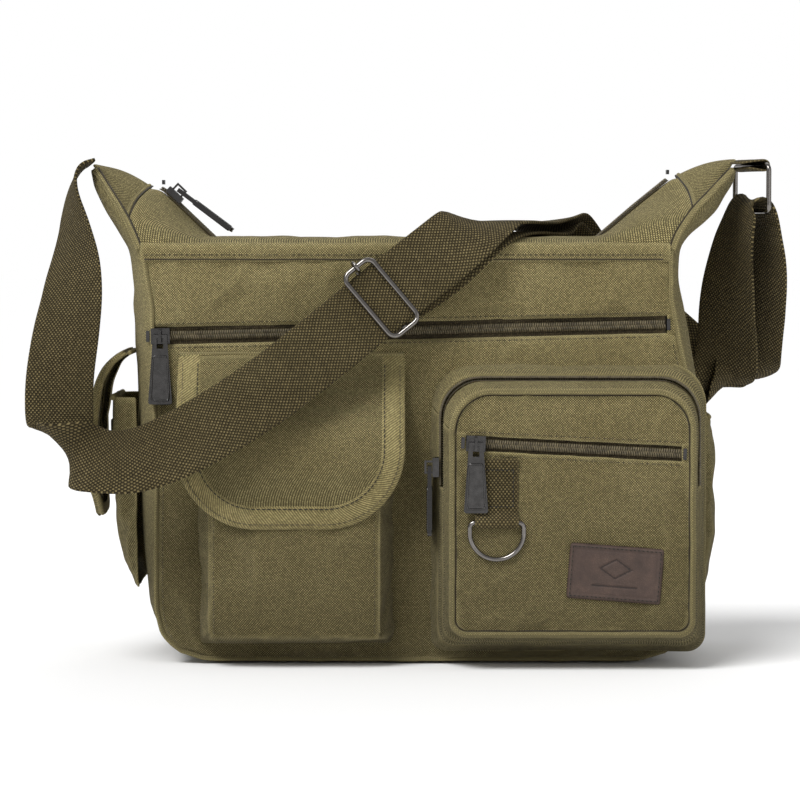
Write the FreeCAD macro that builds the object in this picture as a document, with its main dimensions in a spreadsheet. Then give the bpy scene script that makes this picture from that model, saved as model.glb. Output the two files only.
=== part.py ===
"""Canvas messenger bag: a soft shell with four zips, two flapped pockets and a webbing strap.

Frame: millimetres, +Z up, the front of the bag faces -Y, origin at the centre of the base.
"""

import FreeCAD
import Part
import Sketcher
import math
import os

Vector = FreeCAD.Vector
doc = FreeCAD.newDocument("MessengerBag")

# ---------------------------------------------------------------- driving dimensions

DIMENSIONS = {
    # shell
    "canvas_thick": 2.0,
    "lining_thick": 1.0,
    "front_plane": 52.0,
    "base_half_width": 132.0,
    "back_base": 55.0,
    "back_top": 32.0,
    "shell_height": 241.0,
    "crest_level": 242.5,
    "crest_setback": 8.0,
    "ear_tip_half": 21.0,
    # zips
    "tape_width": 26.0,
    "tape_thick": 0.9,
    "coil_width": 5.6,
    "coil_rise": 2.4,
    "slider_length": 11.0,
    "slider_width": 9.0,
    "pin_height": 5.9,
    "bridge_width": 1.6,
    "pull_length": 39.5,
    "pull_top_width": 8.0,
    "pull_end_width": 14.0,
    "pull_thick": 2.4,
    "front_zip_length": 299.0,
    "organiser_zip_length": 124.0,
    "corner_coil_width": 4.5,
    # cargo pocket and flap
    "cargo_depth": 25.0,
    "flap_width": 130.0,
    "flap_height": 99.0,
    "flap_radius": 45.0,
    "binding_width": 12.0,
    # organiser pocket
    "organiser_depth": 34.0,
    "organiser_left": 2.0,
    "organiser_right": 159.0,
    "organiser_bottom": 9.0,
    "organiser_top": 173.0,
    "organiser_taper": 12.0,
    "piping_rise": 2.2,
    # side pockets
    "side_flap_width": 76.0,
    "side_flap_height": 97.0,
    "side_flap_radius": 30.0,
    "slip_width": 76.0,
    "slip_height": 124.0,
    # small fittings
    "patch_width": 54.0,
    "patch_height": 32.0,
    "patch_thick": 1.6,
    "tab_width": 25.0,
    "tab_height": 36.0,
    "ring_wire": 2.8,
    "dring_inner": 28.0,
    # strap and its hardware
    "strap_width": 40.0,
    "strap_thick": 1.8,
    "strap_wire": 3.0,
    "strap_ring_inner": 42.0,
    "strap_ring_height": 24.0,
    "adjuster_inner": 43.0,
    "adjuster_height": 17.0,
}

sheet = doc.addObject("Spreadsheet::Sheet", "Sizes")
for row, (alias, number) in enumerate(DIMENSIONS.items(), start=1):
    sheet.set(f"A{row}", alias)
    sheet.set(f"B{row}", str(number))
    sheet.setAlias(f"B{row}", alias)
doc.recompute()


def size(alias):
    """One driving dimension, read from the sheet."""
    return float(sheet.get(alias))


# ---------------------------------------------------------------- document helpers

parts = []


def keep(thing, place=None):
    """Registers a finished sub-part, and puts it at its place."""
    if place is not None:
        thing.Placement = place
    parts.append(thing)
    return thing


def new_body(label):
    body = doc.addObject("PartDesign::Body", label)
    body.Label = label
    return body


def plane_of(body, role):
    return next(f for f in body.Origin.OriginFeatures if f.Role == role)


def new_sketch(body, role, name, shift=0.0, expression=None):
    """A sketch on one of the body's own origin planes, moved along that plane's normal."""
    sketch = body.newObject("Sketcher::SketchObject", body.Label + "_" + name)
    sketch.AttachmentSupport = [(plane_of(body, role), "")]
    sketch.MapMode = "FlatFace"
    sketch.AttachmentOffset = FreeCAD.Placement(Vector(0, 0, shift), FreeCAD.Rotation())
    if expression:
        sketch.setExpression("AttachmentOffset.Base.z", expression)
    return sketch


def draw_rectangle(sketch, width, height):
    """A rectangle centred on the sketch's origin; width and height are sheet aliases."""
    half_w = size(width) / 2
    half_h = size(height) / 2
    corners = [(-half_w, -half_h), (half_w, -half_h), (half_w, half_h), (-half_w, half_h)]
    for i in range(4):
        start = Vector(*corners[i], 0)
        end = Vector(*corners[(i + 1) % 4], 0)
        sketch.addGeometry(Part.LineSegment(start, end), False)
    for i in range(4):
        sketch.addConstraint(Sketcher.Constraint("Coincident", i, 2, (i + 1) % 4, 1))
    for side, way in ((0, "Horizontal"), (2, "Horizontal"), (1, "Vertical"), (3, "Vertical")):
        sketch.addConstraint(Sketcher.Constraint(way, side))
    sketch.addConstraint(Sketcher.Constraint("Symmetric", 0, 1, 1, 2, -1, 1))
    across = sketch.addConstraint(Sketcher.Constraint("DistanceX", 0, 1, 0, 2, 2 * half_w))
    up = sketch.addConstraint(Sketcher.Constraint("DistanceY", 1, 1, 1, 2, 2 * half_h))
    sketch.setExpression(f"Constraints[{across}]", f"Sizes.{width}")
    sketch.setExpression(f"Constraints[{up}]", f"Sizes.{height}")


def draw_outline(sketch, points, radii=None):
    """A closed outline through points (x, y), with a round of its own radius at each corner."""
    for edge in outline_edges(points, radii):
        sketch.addGeometry(edge, False)


def outline_edges(points, radii=None):
    """Line and arc geometry of a closed outline; radii are per corner, 0 for a sharp one."""
    count = len(points)
    radii = radii or [0.0] * count
    corners = [Vector(p[0], p[1], 0) for p in points]
    entries, exits, arcs = [], [], []
    for i in range(count):
        here = corners[i]
        back = corners[i - 1] - here
        ahead = corners[(i + 1) % count] - here
        back.normalize()
        ahead.normalize()
        if radii[i] == 0:
            entries.append(here)
            exits.append(here)
            arcs.append(None)
            continue
        half = back.getAngle(ahead) / 2
        reach = radii[i] / math.tan(half)
        middle = back + ahead
        middle.normalize()
        centre = here + middle * (radii[i] / math.sin(half))
        first = here + back * reach
        last = here + ahead * reach
        entries.append(first)
        exits.append(last)
        arcs.append(Part.Arc(first, centre - middle * radii[i], last))
    edges = []
    for i in range(count):
        if arcs[i]:
            edges.append(arcs[i])
        start = exits[i]
        end = entries[(i + 1) % count]
        if (end - start).Length > 1e-6:
            edges.append(Part.LineSegment(start, end))
    return edges


def add_pad(body, sketch, length, symmetric=False):
    """Pads the sketch by a sheet alias or expression, along the sketch's normal."""
    pad = body.newObject("PartDesign::Pad", body.Label + "_pad")
    pad.Profile = sketch
    if symmetric:
        pad.SideType = "Symmetric"
    pad.setExpression("Length", length)
    return pad


def cut_through(body, sketch):
    """A pocket through everything, both ways."""
    pocket = body.newObject("PartDesign::Pocket", body.Label + "_cut")
    pocket.Profile = sketch
    pocket.SideType = "Symmetric"
    pocket.Type = "Length"
    pocket.Length = 1200
    return pocket


def add_loft(body, sketches, subtract=False):
    kind = "PartDesign::SubtractiveLoft" if subtract else "PartDesign::AdditiveLoft"
    loft = body.newObject(kind, body.Label + ("_hollow" if subtract else "_loft"))
    loft.Profile = sketches[0]
    loft.Sections = sketches[1:]
    loft.Ruled = True
    return loft


def plate(label, points, radii=None, thick="Sizes.canvas_thick", place=None):
    """A flat piece of cloth in the XZ plane that grows forwards, towards -Y."""
    body = new_body(label)
    sketch = new_sketch(body, "XZ_Plane", "outline")
    draw_outline(sketch, points, radii)
    add_pad(body, sketch, thick)
    return keep(body, place or FreeCAD.Placement())


def at(x, y, z, axis=None, angle=0.0):
    """A placement: turned by angle about axis through the part's own origin, then moved."""
    turn = FreeCAD.Rotation(axis or Vector(0, 0, 1), angle)
    return FreeCAD.Placement(Vector(x, y, z), turn)


def rectangle_points(left, bottom, right, top):
    return [(left, bottom), (right, bottom), (right, top), (left, top)]


# ---------------------------------------------------------------- shapes of bent cloth


def loft_through(sections):
    """One solid through closed polygons of equal corner count, its sides in flat triangles."""
    count = len(sections[0])
    faces = [Part.Face(Part.makePolygon(list(s) + [s[0]])) for s in (sections[0], sections[-1])]
    for near, far in zip(sections, sections[1:]):
        for i in range(count):
            j = (i + 1) % count
            # opposite faces are split along the same diagonal, so the cloth keeps its thickness
            if i < count // 2:
                triangles = ((near[i], near[j], far[j]), (near[i], far[j], far[i]))
            else:
                triangles = ((near[i], near[j], far[i]), (near[j], far[j], far[i]))
            for corners in triangles:
                faces.append(Part.Face(Part.makePolygon(list(corners) + [corners[0]])))
    solid = Part.makeSolid(Part.makeShell(faces))
    if solid.Volume < 0:
        solid.reverse()
    return solid


def cloth_between(edge_a, edge_b, thick_vectors):
    """Cloth ruled between two edges; each section is thickened by its own vector."""
    sections = []
    for a, b, t in zip(edge_a, edge_b, thick_vectors):
        sections.append([a, b, b + t, a + t])
    return loft_through(sections)


def path_normals(path, thick):
    """Vectors of length thick, square to a path of (x, z) points and on its right."""
    normals = []
    for i in range(len(path)):
        before = path[max(i - 1, 0)]
        after = path[min(i + 1, len(path) - 1)]
        run = Vector(after[0] - before[0], 0, after[1] - before[1])
        run.normalize()
        normals.append(Vector(run.z, 0, -run.x) * thick)
    return normals


def feature(label, shape, place=None):
    """A sub-part whose shape is worked out here from the sheet's sizes."""
    made = doc.addObject("Part::Feature", label)
    made.Label = label
    made.Shape = shape
    return keep(made, place or FreeCAD.Placement())


def back_plane(z):
    """How far back the leaning back panel's inner face is at height z."""
    lean = (size("back_top") - size("back_base")) / size("shell_height")
    return size("back_base") + lean * z


# ---------------------------------------------------------------- shell

thick = size("canvas_thick")
front = -size("front_plane")
base_half = size("base_half_width")
top = size("shell_height")
crest = size("crest_level")
zip_line = -size("crest_setback")
tip_half = size("ear_tip_half")

# side lines of the front: (x, z) from the base up, left then right
LEFT_SIDE = [(-132, 2), (-150, 14), (-161, 34), (-166, 70), (-170, 176), (-172, 240)]
RIGHT_SIDE = [(130, 2), (146, 14), (156, 34), (159, 70), (158, 140), (153, 176), (146, 208), (144, 240)]
LEFT_EAR = [(-178, 246), (-187, 260), (-194.5, 277)]
RIGHT_EAR = [(150, 248), (160, 253), (171, 263), (180, 279)]

zip_left_low = (-168, 184)
zip_right_low = (149, 191)
lower_outline = LEFT_SIDE[:5] + [zip_left_low, zip_right_low] + RIGHT_SIDE[5::-1]
plate("front_panel_lower", lower_outline, place=at(0, front, 0))

upper_outline = [(-170, 196), (146.3, 203), (145.2, 208), (143.4, 240), (-171, 240)]
plate("front_panel_upper", upper_outline, place=at(0, front, 0))

lean_angle = math.degrees(math.atan2(size("back_base") - size("back_top"), top))
back_outline = LEFT_SIDE + RIGHT_SIDE[::-1]
plate(
    "back_panel",
    back_outline,
    place=at(0, size("back_base") + thick, 0, Vector(1, 0, 0), lean_angle),
)

bottom = new_body("bottom_panel")
bottom_sketch = new_sketch(bottom, "XY_Plane", "outline")
bottom_points = rectangle_points(-base_half, front, base_half - 2, size("back_base") - 0.4)
draw_outline(bottom_sketch, bottom_points)
add_pad(bottom, bottom_sketch, "Sizes.canvas_thick")
keep(bottom, FreeCAD.Placement())


def gusset(label, side, ear, outward):
    """The strip that runs up one end of the bag and narrows into the ear."""
    path = [(x, z + 0.2) for x, z in side] + ear
    fronts, backs = [], []
    for x, z in side:
        fronts.append(front)
        backs.append(back_plane(z) - 0.4)
    steps = len(ear)
    for i in range(steps):
        share = (i + 1) / steps
        fronts.append(front + share * (zip_line - tip_half - front))
        backs.append(back_plane(top) + share * (zip_line + tip_half - back_plane(top)))
    normals = path_normals(path, thick * outward)
    edge_a = [Vector(x, y, z) for (x, z), y in zip(path, fronts)]
    edge_b = [Vector(x, y, z) for (x, z), y in zip(path, backs)]
    return feature(label, cloth_between(edge_a, edge_b, normals))


gusset("left_gusset", LEFT_SIDE, LEFT_EAR, 1)
gusset("right_gusset", RIGHT_SIDE, RIGHT_EAR, -1)

# the crest of the top, where the main zip lies: (x, z) from left to right
CREST = [(-157, 275), (-123, crest), (97, crest), (122, 264), (143, 281)]
tape_half = 6.0
up = Vector(0, 0, thick)

for label, y_low, y_high in (
    ("top_facing_front", front - thick, zip_line - tape_half),
    ("top_facing_back", back_plane(top) + thick, zip_line + tape_half),
):
    low = [Vector(x, y_low, top) for x, z in CREST]
    high = [Vector(x, y_high, z) for x, z in CREST]
    feature(label, cloth_between(low, high, [up] * len(CREST)))


def gable(x, z_low, z_crest, y_front, y_back, raise_by):
    """Section of an ear cap: a thick inverted V."""
    drop = Vector(0, 0, raise_by)
    legs = [Vector(x, y_front, z_low), Vector(x, zip_line, z_crest), Vector(x, y_back, z_low)]
    return legs + [p - drop for p in reversed(legs)]


def ear_cap(label, x_zip, z_zip, x_tip, z_tip):
    wide = gable(x_zip, top + 3, z_zip, front - thick, back_plane(top) + thick, thick)
    narrow = gable(x_tip, z_tip - 3, z_tip, zip_line - tip_half, zip_line + tip_half, thick)
    return feature(label, loft_through([wide, narrow]))


ear_cap("left_ear_cap", -159, 277, -197, 290)
ear_cap("right_ear_cap", 145, 283, 182, 293)

# lining: an open bag that hangs inside the shell
lining_gap = 9.4


def lining_section(z, x_left, x_right, inset):
    y_front = front + lining_gap + inset
    y_back = back_plane(z) - 2 - inset
    return [
        Vector(x_left + inset, y_front, z),
        Vector(x_right - inset, y_front, z),
        Vector(x_right - inset, y_back, z),
        Vector(x_left + inset, y_back, z),
    ]


wall = size("lining_thick")
outer = loft_through([lining_section(5, -126, 122, 0), lining_section(232, -163, 137, 0)])
inner = loft_through([lining_section(6, -126, 122, wall), lining_section(233, -163, 137, wall)])
feature("lining", outer.cut(inner))

# pocket bag behind the front zip: two sheets joined at the sides and the bottom
bag_outer = Part.makeBox(286, 7.2, 118, Vector(-150, front + 1.2, 70))
bag_inner = Part.makeBox(284, 5.2, 130, Vector(-149, front + 2.2, 71))
feature("front_pocket_bag", bag_outer.cut(bag_inner))

# welts: the raised seams where the front and back panels meet the gussets


def seam_welt(label, y, lean):
    """A thin upright rib around the sides and the base of one panel."""
    ribs = []
    for side, outward in ((LEFT_SIDE, 1), (RIGHT_SIDE, -1)):
        path = [(x, z + 0.2) for x, z in side]
        inner_edge = path_normals(path, -0.5 * outward)
        outer_edge = path_normals(path, -2.4 * outward)
        sections = []
        for (x, z), a, b in zip(path, inner_edge, outer_edge):
            y_here = y + lean * z
            base = Vector(x, y_here, z)
            across = Vector(0, 2.0, 0)
            sections.append([base + a, base + b, base + b + across, base + a + across])
        ribs.append(loft_through(sections))
    return feature(label, Part.makeCompound(ribs))


back_lean = (size("back_top") - size("back_base")) / size("shell_height")
seam_welt("front_welt", front - 1.0, 0.0)
seam_welt("back_welt", size("back_base") - 1.2, back_lean)

# ---------------------------------------------------------------- zips

MAIN_PULL_LIFT = 7.0


def make_pull(label, place):
    """A tab that hangs from its top bar at the origin, towards -Z, and faces -Y."""
    body = new_body(label)
    half_top = size("pull_top_width") / 2
    half_end = size("pull_end_width") / 2
    length = size("pull_length")
    sketch = new_sketch(body, "XZ_Plane", "outline", -size("pull_thick") / 2, "-Sizes.pull_thick / 2")
    outline = [(-half_end, -length), (half_end, -length), (half_top, 0.9), (-half_top, 0.9)]
    draw_outline(sketch, outline, [1.5, 1.5, 0.6, 0.6])
    add_pad(body, sketch, "Sizes.pull_thick")
    window = new_sketch(body, "XZ_Plane", "window")
    draw_outline(window, rectangle_points(-1.9, -7.2, 1.9, -1.0))
    cut_through(body, window)
    return keep(body, place)


def make_slider(label, place, bridge_along):
    """A slider on a coil along X that faces -Y; its bridge stands along or across the zip."""
    body = new_body(label)
    profile = new_sketch(body, "YZ_Plane", "profile")
    half = size("slider_width") / 2
    coil_half = size("coil_width") / 2 + 0.4
    roof = size("coil_rise") + 0.4
    shape = [(-0.5, -half), (-0.5, -coil_half), (-roof, -coil_half), (-roof, coil_half)]
    shape += [(-0.5, coil_half), (-0.5, half), (-roof - 1.4, half), (-roof - 1.4, -half)]
    draw_outline(profile, shape)
    add_pad(body, profile, "Sizes.slider_length", symmetric=True)
    inner = size("pin_height") + 1.7
    rise = inner + 1.2
    if bridge_along:
        arch = new_sketch(body, "XY_Plane", "bridge")
        points = [(-3.8, -roof - 1.3), (-3.8, -rise), (3.8, -rise), (3.8, -roof - 1.3)]
        points += [(2.6, -roof - 1.3), (2.6, -inner), (-2.6, -inner), (-2.6, -roof - 1.3)]
    else:
        arch = new_sketch(body, "YZ_Plane", "bridge")
        points = [(-roof - 1.3, -3.8), (-rise, -3.8), (-rise, 3.8), (-roof - 1.3, 3.8)]
        points += [(-roof - 1.3, 2.6), (-inner, 2.6), (-inner, -2.6), (-roof - 1.3, -2.6)]
    draw_outline(arch, points)
    add_pad(body, arch, "Sizes.bridge_width", symmetric=True)
    return keep(body, place)


def make_coil(label, length_alias, place):
    """The closed coil as one bar along X."""
    body = new_body(label)
    sketch = new_sketch(body, "YZ_Plane", "section")
    half = size("coil_width") / 2
    rise = size("coil_rise")
    draw_outline(sketch, [(-0.05, -half), (-0.05, half), (-rise, half - 0.6), (-rise, 0.6 - half)])
    add_pad(body, sketch, f"Sizes.{length_alias}", symmetric=True)
    return keep(body, place)


def make_tape(label, length_alias, place):
    """Both tapes as one strip behind the coil."""
    body = new_body(label)
    sketch = new_sketch(body, "XZ_Plane", "strip")
    draw_rectangle(sketch, length_alias, "tape_width")
    tape = add_pad(body, sketch, "Sizes.tape_thick")
    tape.Reversed = True
    return keep(body, place)


def zip_place(origin, tilt, along=0.0, out=0.0, down=0.0):
    """A place in a zip's own frame: X along the zip, -Y out of the cloth, Z up."""
    frame = at(*origin, Vector(0, 1, 0), -tilt)
    return frame.multiply(at(along, -out, -down))


stops = []


def stop_pair(origin, tilt, half_length):
    """Two small blocks over the ends of a coil."""
    for end in (-1, 1):
        block = Part.makeBox(2.0, 2.6, 6.4, Vector(-1.0, -2.6, -3.2))
        block.Placement = zip_place(origin, tilt, along=end * (half_length + 1.4))
        stops.append(block)


def straight_zip(name, origin, tilt, length_alias, start):
    """A whole zip on a plane that faces -Y; the slider stands at start along it, its pull hangs."""
    make_tape(name + "_tape", length_alias, zip_place(origin, tilt))
    make_coil(name + "_coil", length_alias, zip_place(origin, tilt))
    make_slider(name + "_slider", zip_place(origin, tilt, along=start), False)
    stop_pair(origin, tilt, size(length_alias) / 2)
    pin = zip_place(origin, tilt, along=start, out=size("pin_height")).Base
    make_pull(name + "_pull", at(pin.x, pin.y, pin.z))
    return pin


FRONT_ZIP = (-11.5, front, 193.5)
FRONT_TILT = 1.3
front_pin = straight_zip("front_zip", FRONT_ZIP, FRONT_TILT, "front_zip_length", -143.5)

# main zip, along the crest
main_tape_low = [Vector(x, zip_line - tape_half + 0.1, z) for x, z in CREST]
main_tape_high = [Vector(x, zip_line + tape_half - 0.1, z) for x, z in CREST]
feature(
    "main_zip_tape",
    cloth_between(main_tape_low, main_tape_high, [Vector(0, 0, size("tape_thick"))] * len(CREST)),
)
coil_half = size("coil_width") / 2
coil_base = size("tape_thick") + 0.05
coil_low = [Vector(x, zip_line - coil_half, z + coil_base) for x, z in CREST]
coil_high = [Vector(x, zip_line + coil_half, z + coil_base) for x, z in CREST]
coil_up = Vector(0, 0, size("coil_rise"))
feature("main_zip_coil", cloth_between(coil_low, coil_high, [coil_up] * len(CREST)))

slope = Vector(CREST[1][0] - CREST[0][0], 0, CREST[1][1] - CREST[0][1])
slope.normalize()
rise_way = Vector(-slope.z, 0, slope.x)
slope_turn = FreeCAD.Rotation(slope, rise_way * -1, slope.cross(rise_way * -1), "ZXY")
main_start = Vector(CREST[0][0], zip_line, CREST[0][1]) + slope * 7.5 + rise_way * 1.0
make_slider("main_zip_slider", FreeCAD.Placement(main_start, slope_turn), True)
main_pin = main_start + rise_way * size("pin_height")
hang = FreeCAD.Rotation(Vector(0, 1, 0), -MAIN_PULL_LIFT).multVec(slope)
face_way = hang.cross(Vector(0, -1, 0))
if face_way.z < 0:
    face_way = face_way * -1
side_way = (face_way * -1).cross(hang * -1)
pull_turn = FreeCAD.Rotation(side_way, face_way * -1, hang * -1, "ZXY")
make_pull("main_zip_pull", FreeCAD.Placement(main_pin, pull_turn))
for x, z, sign in ((CREST[0][0], CREST[0][1], 1), (CREST[-1][0], CREST[-1][1], -1)):
    stops.append(Part.makeBox(1.6, 6.4, 2.6, Vector(x - 0.8 + sign * 1.0, zip_line - 3.2, z + 3.4)))

# ---------------------------------------------------------------- pockets

panel_face = front - thick


def ring_points(inset_share, extra=0.0):
    """The organiser's outline at a share of its depth, as left, bottom, right, top."""
    taper = size("organiser_taper") * inset_share
    left = size("organiser_left") + taper + extra
    right = size("organiser_right") - 0.7 * taper - extra
    low = size("organiser_bottom") + taper + extra
    high = size("organiser_top") - 1.15 * taper - extra
    return rectangle_points(left, low, right, high)


def organiser_section(body, name, depth, extra=0.0):
    """One rounded outline of the organiser, depth in front of the panel."""
    sketch = new_sketch(body, "XZ_Plane", name, depth)
    radii = [8.0, 8.0, 22.0, 22.0]
    draw_outline(sketch, ring_points(depth / size("organiser_depth"), extra), radii)
    return sketch


def organiser_shell(label, near, far, wall_thick, closed):
    """A slice of the organiser's tapering shell; closed ones have a front face."""
    body = new_body(label)
    outer_pair = [organiser_section(body, "near", near), organiser_section(body, "far", far)]
    add_loft(body, outer_pair)
    stop = far - wall_thick if closed else far + 0.5
    inner_near = organiser_section(body, "hollow_near", near - 0.5, wall_thick)
    inner_far = organiser_section(body, "hollow_far", stop, wall_thick)
    add_loft(body, [inner_near, inner_far], subtract=True)
    return body


depth = size("organiser_depth")
zip_near = 14.0
zip_far = 22.0
zip_foot = 106.0
big = 400.0

organiser_back = organiser_shell("organiser_back", 0.1, zip_far, thick, False)
band = new_sketch(organiser_back, "YZ_Plane", "zip_gap")
draw_outline(band, rectangle_points(-zip_far - 2, zip_foot, -zip_near, big))
cut_through(organiser_back, band)
keep(organiser_back, at(0, panel_face, 0))

tape_body = organiser_shell("corner_zip_tape", zip_near + 0.2, zip_far - 0.2, size("tape_thick"), False)
below = new_sketch(tape_body, "YZ_Plane", "foot")
draw_outline(below, rectangle_points(-60, -10, 10, zip_foot + 0.5))
cut_through(tape_body, below)
keep(tape_body, at(0, panel_face, 0))

coil_depth = (zip_near + zip_far) / 2
coil_body = new_body("corner_zip_coil")
coil_out = new_sketch(coil_body, "XZ_Plane", "outside", coil_depth - 2.25)
share = coil_depth / depth
draw_outline(coil_out, ring_points(share, -3.4), [2.0, 2.0, 24.0, 24.0])
add_pad(coil_body, coil_out, "Sizes.corner_coil_width")
coil_in = new_sketch(coil_body, "XZ_Plane", "inside")
draw_outline(coil_in, ring_points(share, -1.1), [2.0, 2.0, 22.0, 22.0])
cut_through(coil_body, coil_in)
coil_foot = new_sketch(coil_body, "YZ_Plane", "foot")
draw_outline(coil_foot, rectangle_points(-60, -10, 10, zip_foot + 1))
cut_through(coil_body, coil_foot)
keep(coil_body, at(0, panel_face, 0))

corner_x = ring_points(share, -1.7)[0][0]
corner_start = Vector(corner_x, panel_face - coil_depth, zip_foot + 9.5)
side_turn = FreeCAD.Rotation(Vector(0, 0, 1), Vector(1, 0, 0), Vector(0, 1, 0), "ZXY")
make_slider("corner_zip_slider", FreeCAD.Placement(corner_start, side_turn), True)
corner_pin = corner_start - Vector(size("pin_height"), 0, 0)
make_pull("corner_zip_pull", at(corner_pin.x, corner_pin.y, corner_pin.z, Vector(0, 0, 1), -90))

ORGANISER_ZIP = (83.0, panel_face - depth + thick, 127.2)
ORGANISER_TILT = -2.9
gap_half = 5.2


def organiser_front(label, keep_above):
    """The front slice above or below the slanted zip."""
    body = organiser_shell(label, zip_far + 0.3, depth, thick, True)
    middle = ORGANISER_ZIP[2]
    tan_tilt = math.tan(math.radians(ORGANISER_TILT))
    line = []
    for x in (-40.0, 220.0):
        line.append(middle + (x - ORGANISER_ZIP[0]) * tan_tilt)
    cut = new_sketch(body, "XZ_Plane", "cut")
    if keep_above:
        points = [(-40, -20), (220, -20), (220, line[1] + gap_half), (-40, line[0] + gap_half)]
    else:
        points = [(-40, line[0] - gap_half), (220, line[1] - gap_half), (220, 240), (-40, 240)]
    draw_outline(cut, points)
    cut_through(body, cut)
    return keep(body, at(0, panel_face, 0))


organiser_front("organiser_front_lower", False)
organiser_front("organiser_front_upper", True)
divider = ring_points(0.72, 4.0)
plate(
    "organiser_divider",
    divider,
    [8.0, 8.0, 22.0, 22.0],
    thick="Sizes.lining_thick",
    place=at(0, panel_face - zip_far - 2.5, 0),
)
organiser_pin = straight_zip("organiser_zip", ORGANISER_ZIP, ORGANISER_TILT, "organiser_zip_length", -56.0)

piping = new_body("organiser_piping")
piping_out = new_sketch(piping, "XZ_Plane", "outside", depth + 0.1)
draw_outline(piping_out, ring_points(1.0, 0.4), [8.0, 8.0, 22.0, 22.0])
add_pad(piping, piping_out, "Sizes.piping_rise")
piping_in = new_sketch(piping, "XZ_Plane", "inside")
draw_outline(piping_in, ring_points(1.0, 3.2), [5.2, 5.2, 19.2, 19.2])
cut_through(piping, piping_in)
keep(piping, at(0, panel_face, 0))

organiser_face = panel_face - depth
tab = new_body("dring_tab")
tab_profile = new_sketch(tab, "YZ_Plane", "profile")
bar_out = 3.0
loop_r = size("ring_wire") / 2 + 0.25
draw_outline(tab_profile, rectangle_points(-1.9, 0, -0.1, size("tab_height")))
add_pad(tab, tab_profile, "Sizes.tab_width", symmetric=True)
loop_sketch = new_sketch(tab, "YZ_Plane", "loop")
loop_sketch.addGeometry(Part.Circle(Vector(-bar_out, 0, 0), Vector(0, 0, 1), loop_r + 1.2), False)
add_pad(tab, loop_sketch, "Sizes.tab_width", symmetric=True)
hole = new_sketch(tab, "YZ_Plane", "hole")
hole.addGeometry(Part.Circle(Vector(-bar_out, 0, 0), Vector(0, 0, 1), loop_r), False)
cut_through(tab, hole)
TAB = (39.0, organiser_face, 85.0)
keep(tab, at(*TAB))


def wire_ring(label, width, height, wire, low_radius, top_radius, place):
    """A closed ring of round wire in the XZ plane, hung from the middle of its top bar."""
    body = new_body(label)
    spine = new_sketch(body, "XZ_Plane", "spine")
    half = width / 2
    points = [(-half, -height), (half, -height), (half, 0), (-half, 0)]
    draw_outline(spine, points, [low_radius, low_radius, top_radius, top_radius])
    section = new_sketch(body, "YZ_Plane", "section")
    section.addGeometry(Part.Circle(Vector(0, 0, 0), Vector(0, 0, 1), wire / 2), False)
    pipe = body.newObject("PartDesign::AdditivePipe", label + "_pipe")
    pipe.Profile = section
    pipe.Spine = spine
    return keep(body, place)


wire = size("ring_wire")
d_width = size("dring_inner") + wire
d_round = d_width / 2 - 0.2
wire_ring("d_ring", d_width, 21.0, wire, d_round, 3.0, at(TAB[0], TAB[1] - bar_out, TAB[2]))

patch = new_body("leather_patch")
patch_sketch = new_sketch(patch, "XZ_Plane", "outline")
draw_rectangle(patch_sketch, "patch_width", "patch_height")
add_pad(patch, patch_sketch, "Sizes.patch_thick")
keep(patch, at(106.7, organiser_face - 0.1, 55.7, Vector(0, 1, 0), 4.5))

# ---------------------------------------------------------------- cargo pocket

cargo = new_body("cargo_pocket")
cargo_depth = size("cargo_depth")
cargo_sets = []
for name, d, shape in (
    ("near", 0.1, (-133.0, 11.0, -19.0, 150.0)),
    ("far", cargo_depth, (-127.0, 16.0, -27.0, 134.0)),
    ("hollow_near", -0.5, (-131.2, 12.8, -20.8, 260.0)),
    ("hollow_far", cargo_depth - thick, (-125.4, 17.6, -28.6, 260.0)),
):
    section = new_sketch(cargo, "XZ_Plane", name, d)
    draw_outline(section, rectangle_points(*shape))
    cargo_sets.append(section)
add_loft(cargo, cargo_sets[:2])
add_loft(cargo, cargo_sets[2:], subtract=True)
keep(cargo, at(0, panel_face, 0))


def band_along(profile, thickness):
    """A band of cloth: the profile line and its copy, thickness to its left."""
    sides = []
    for i in range(len(profile)):
        before = Vector(*profile[max(i - 1, 0)], 0)
        after = Vector(*profile[min(i + 1, len(profile) - 1)], 0)
        run = after - before
        run.normalize()
        here = Vector(*profile[i], 0)
        other = here + Vector(run.y, -run.x, 0) * thickness
        sides.append((other.x, other.y))
    return list(profile) + sides[::-1]


def flap_pieces(name, role, profile, middle, width, height, radius, place, across_role):
    """A flap and the tape that binds its edge, both bent along one profile."""
    trim = size("binding_width")
    half = width / 2
    full = rectangle_points(middle - half, -height, middle + half, 0.0)
    within = rectangle_points(middle - half + trim, -height + trim, middle + half - trim, 30.0)
    full_radii = [radius, radius, 0.0, 0.0]
    within_radii = [radius - trim, radius - trim, 0.0, 0.0]
    frame_around = rectangle_points(middle - 300, -300, middle + 300, 300)
    for label, thickness in ((name, 2.0), (name + "_binding", 2.8)):
        body = new_body(label)
        sketch = new_sketch(body, role, "profile")
        draw_outline(sketch, band_along(profile, thickness))
        pad = body.newObject("PartDesign::Pad", label + "_pad")
        pad.Profile = sketch
        pad.SideType = "Symmetric"
        pad.Length = 2 * (half + abs(middle)) + 20
        outside = new_sketch(body, across_role, "outside")
        draw_outline(outside, frame_around)
        if label == name:
            draw_outline(outside, within, within_radii)
            cut_through(body, outside)
        else:
            draw_outline(outside, full, full_radii)
            cut_through(body, outside)
            inside = new_sketch(body, across_role, "inside")
            draw_outline(inside, within, within_radii)
            cut_through(body, inside)
        keep(body, place)


flap_top = 180.0
flap_middle = -79.0
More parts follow.
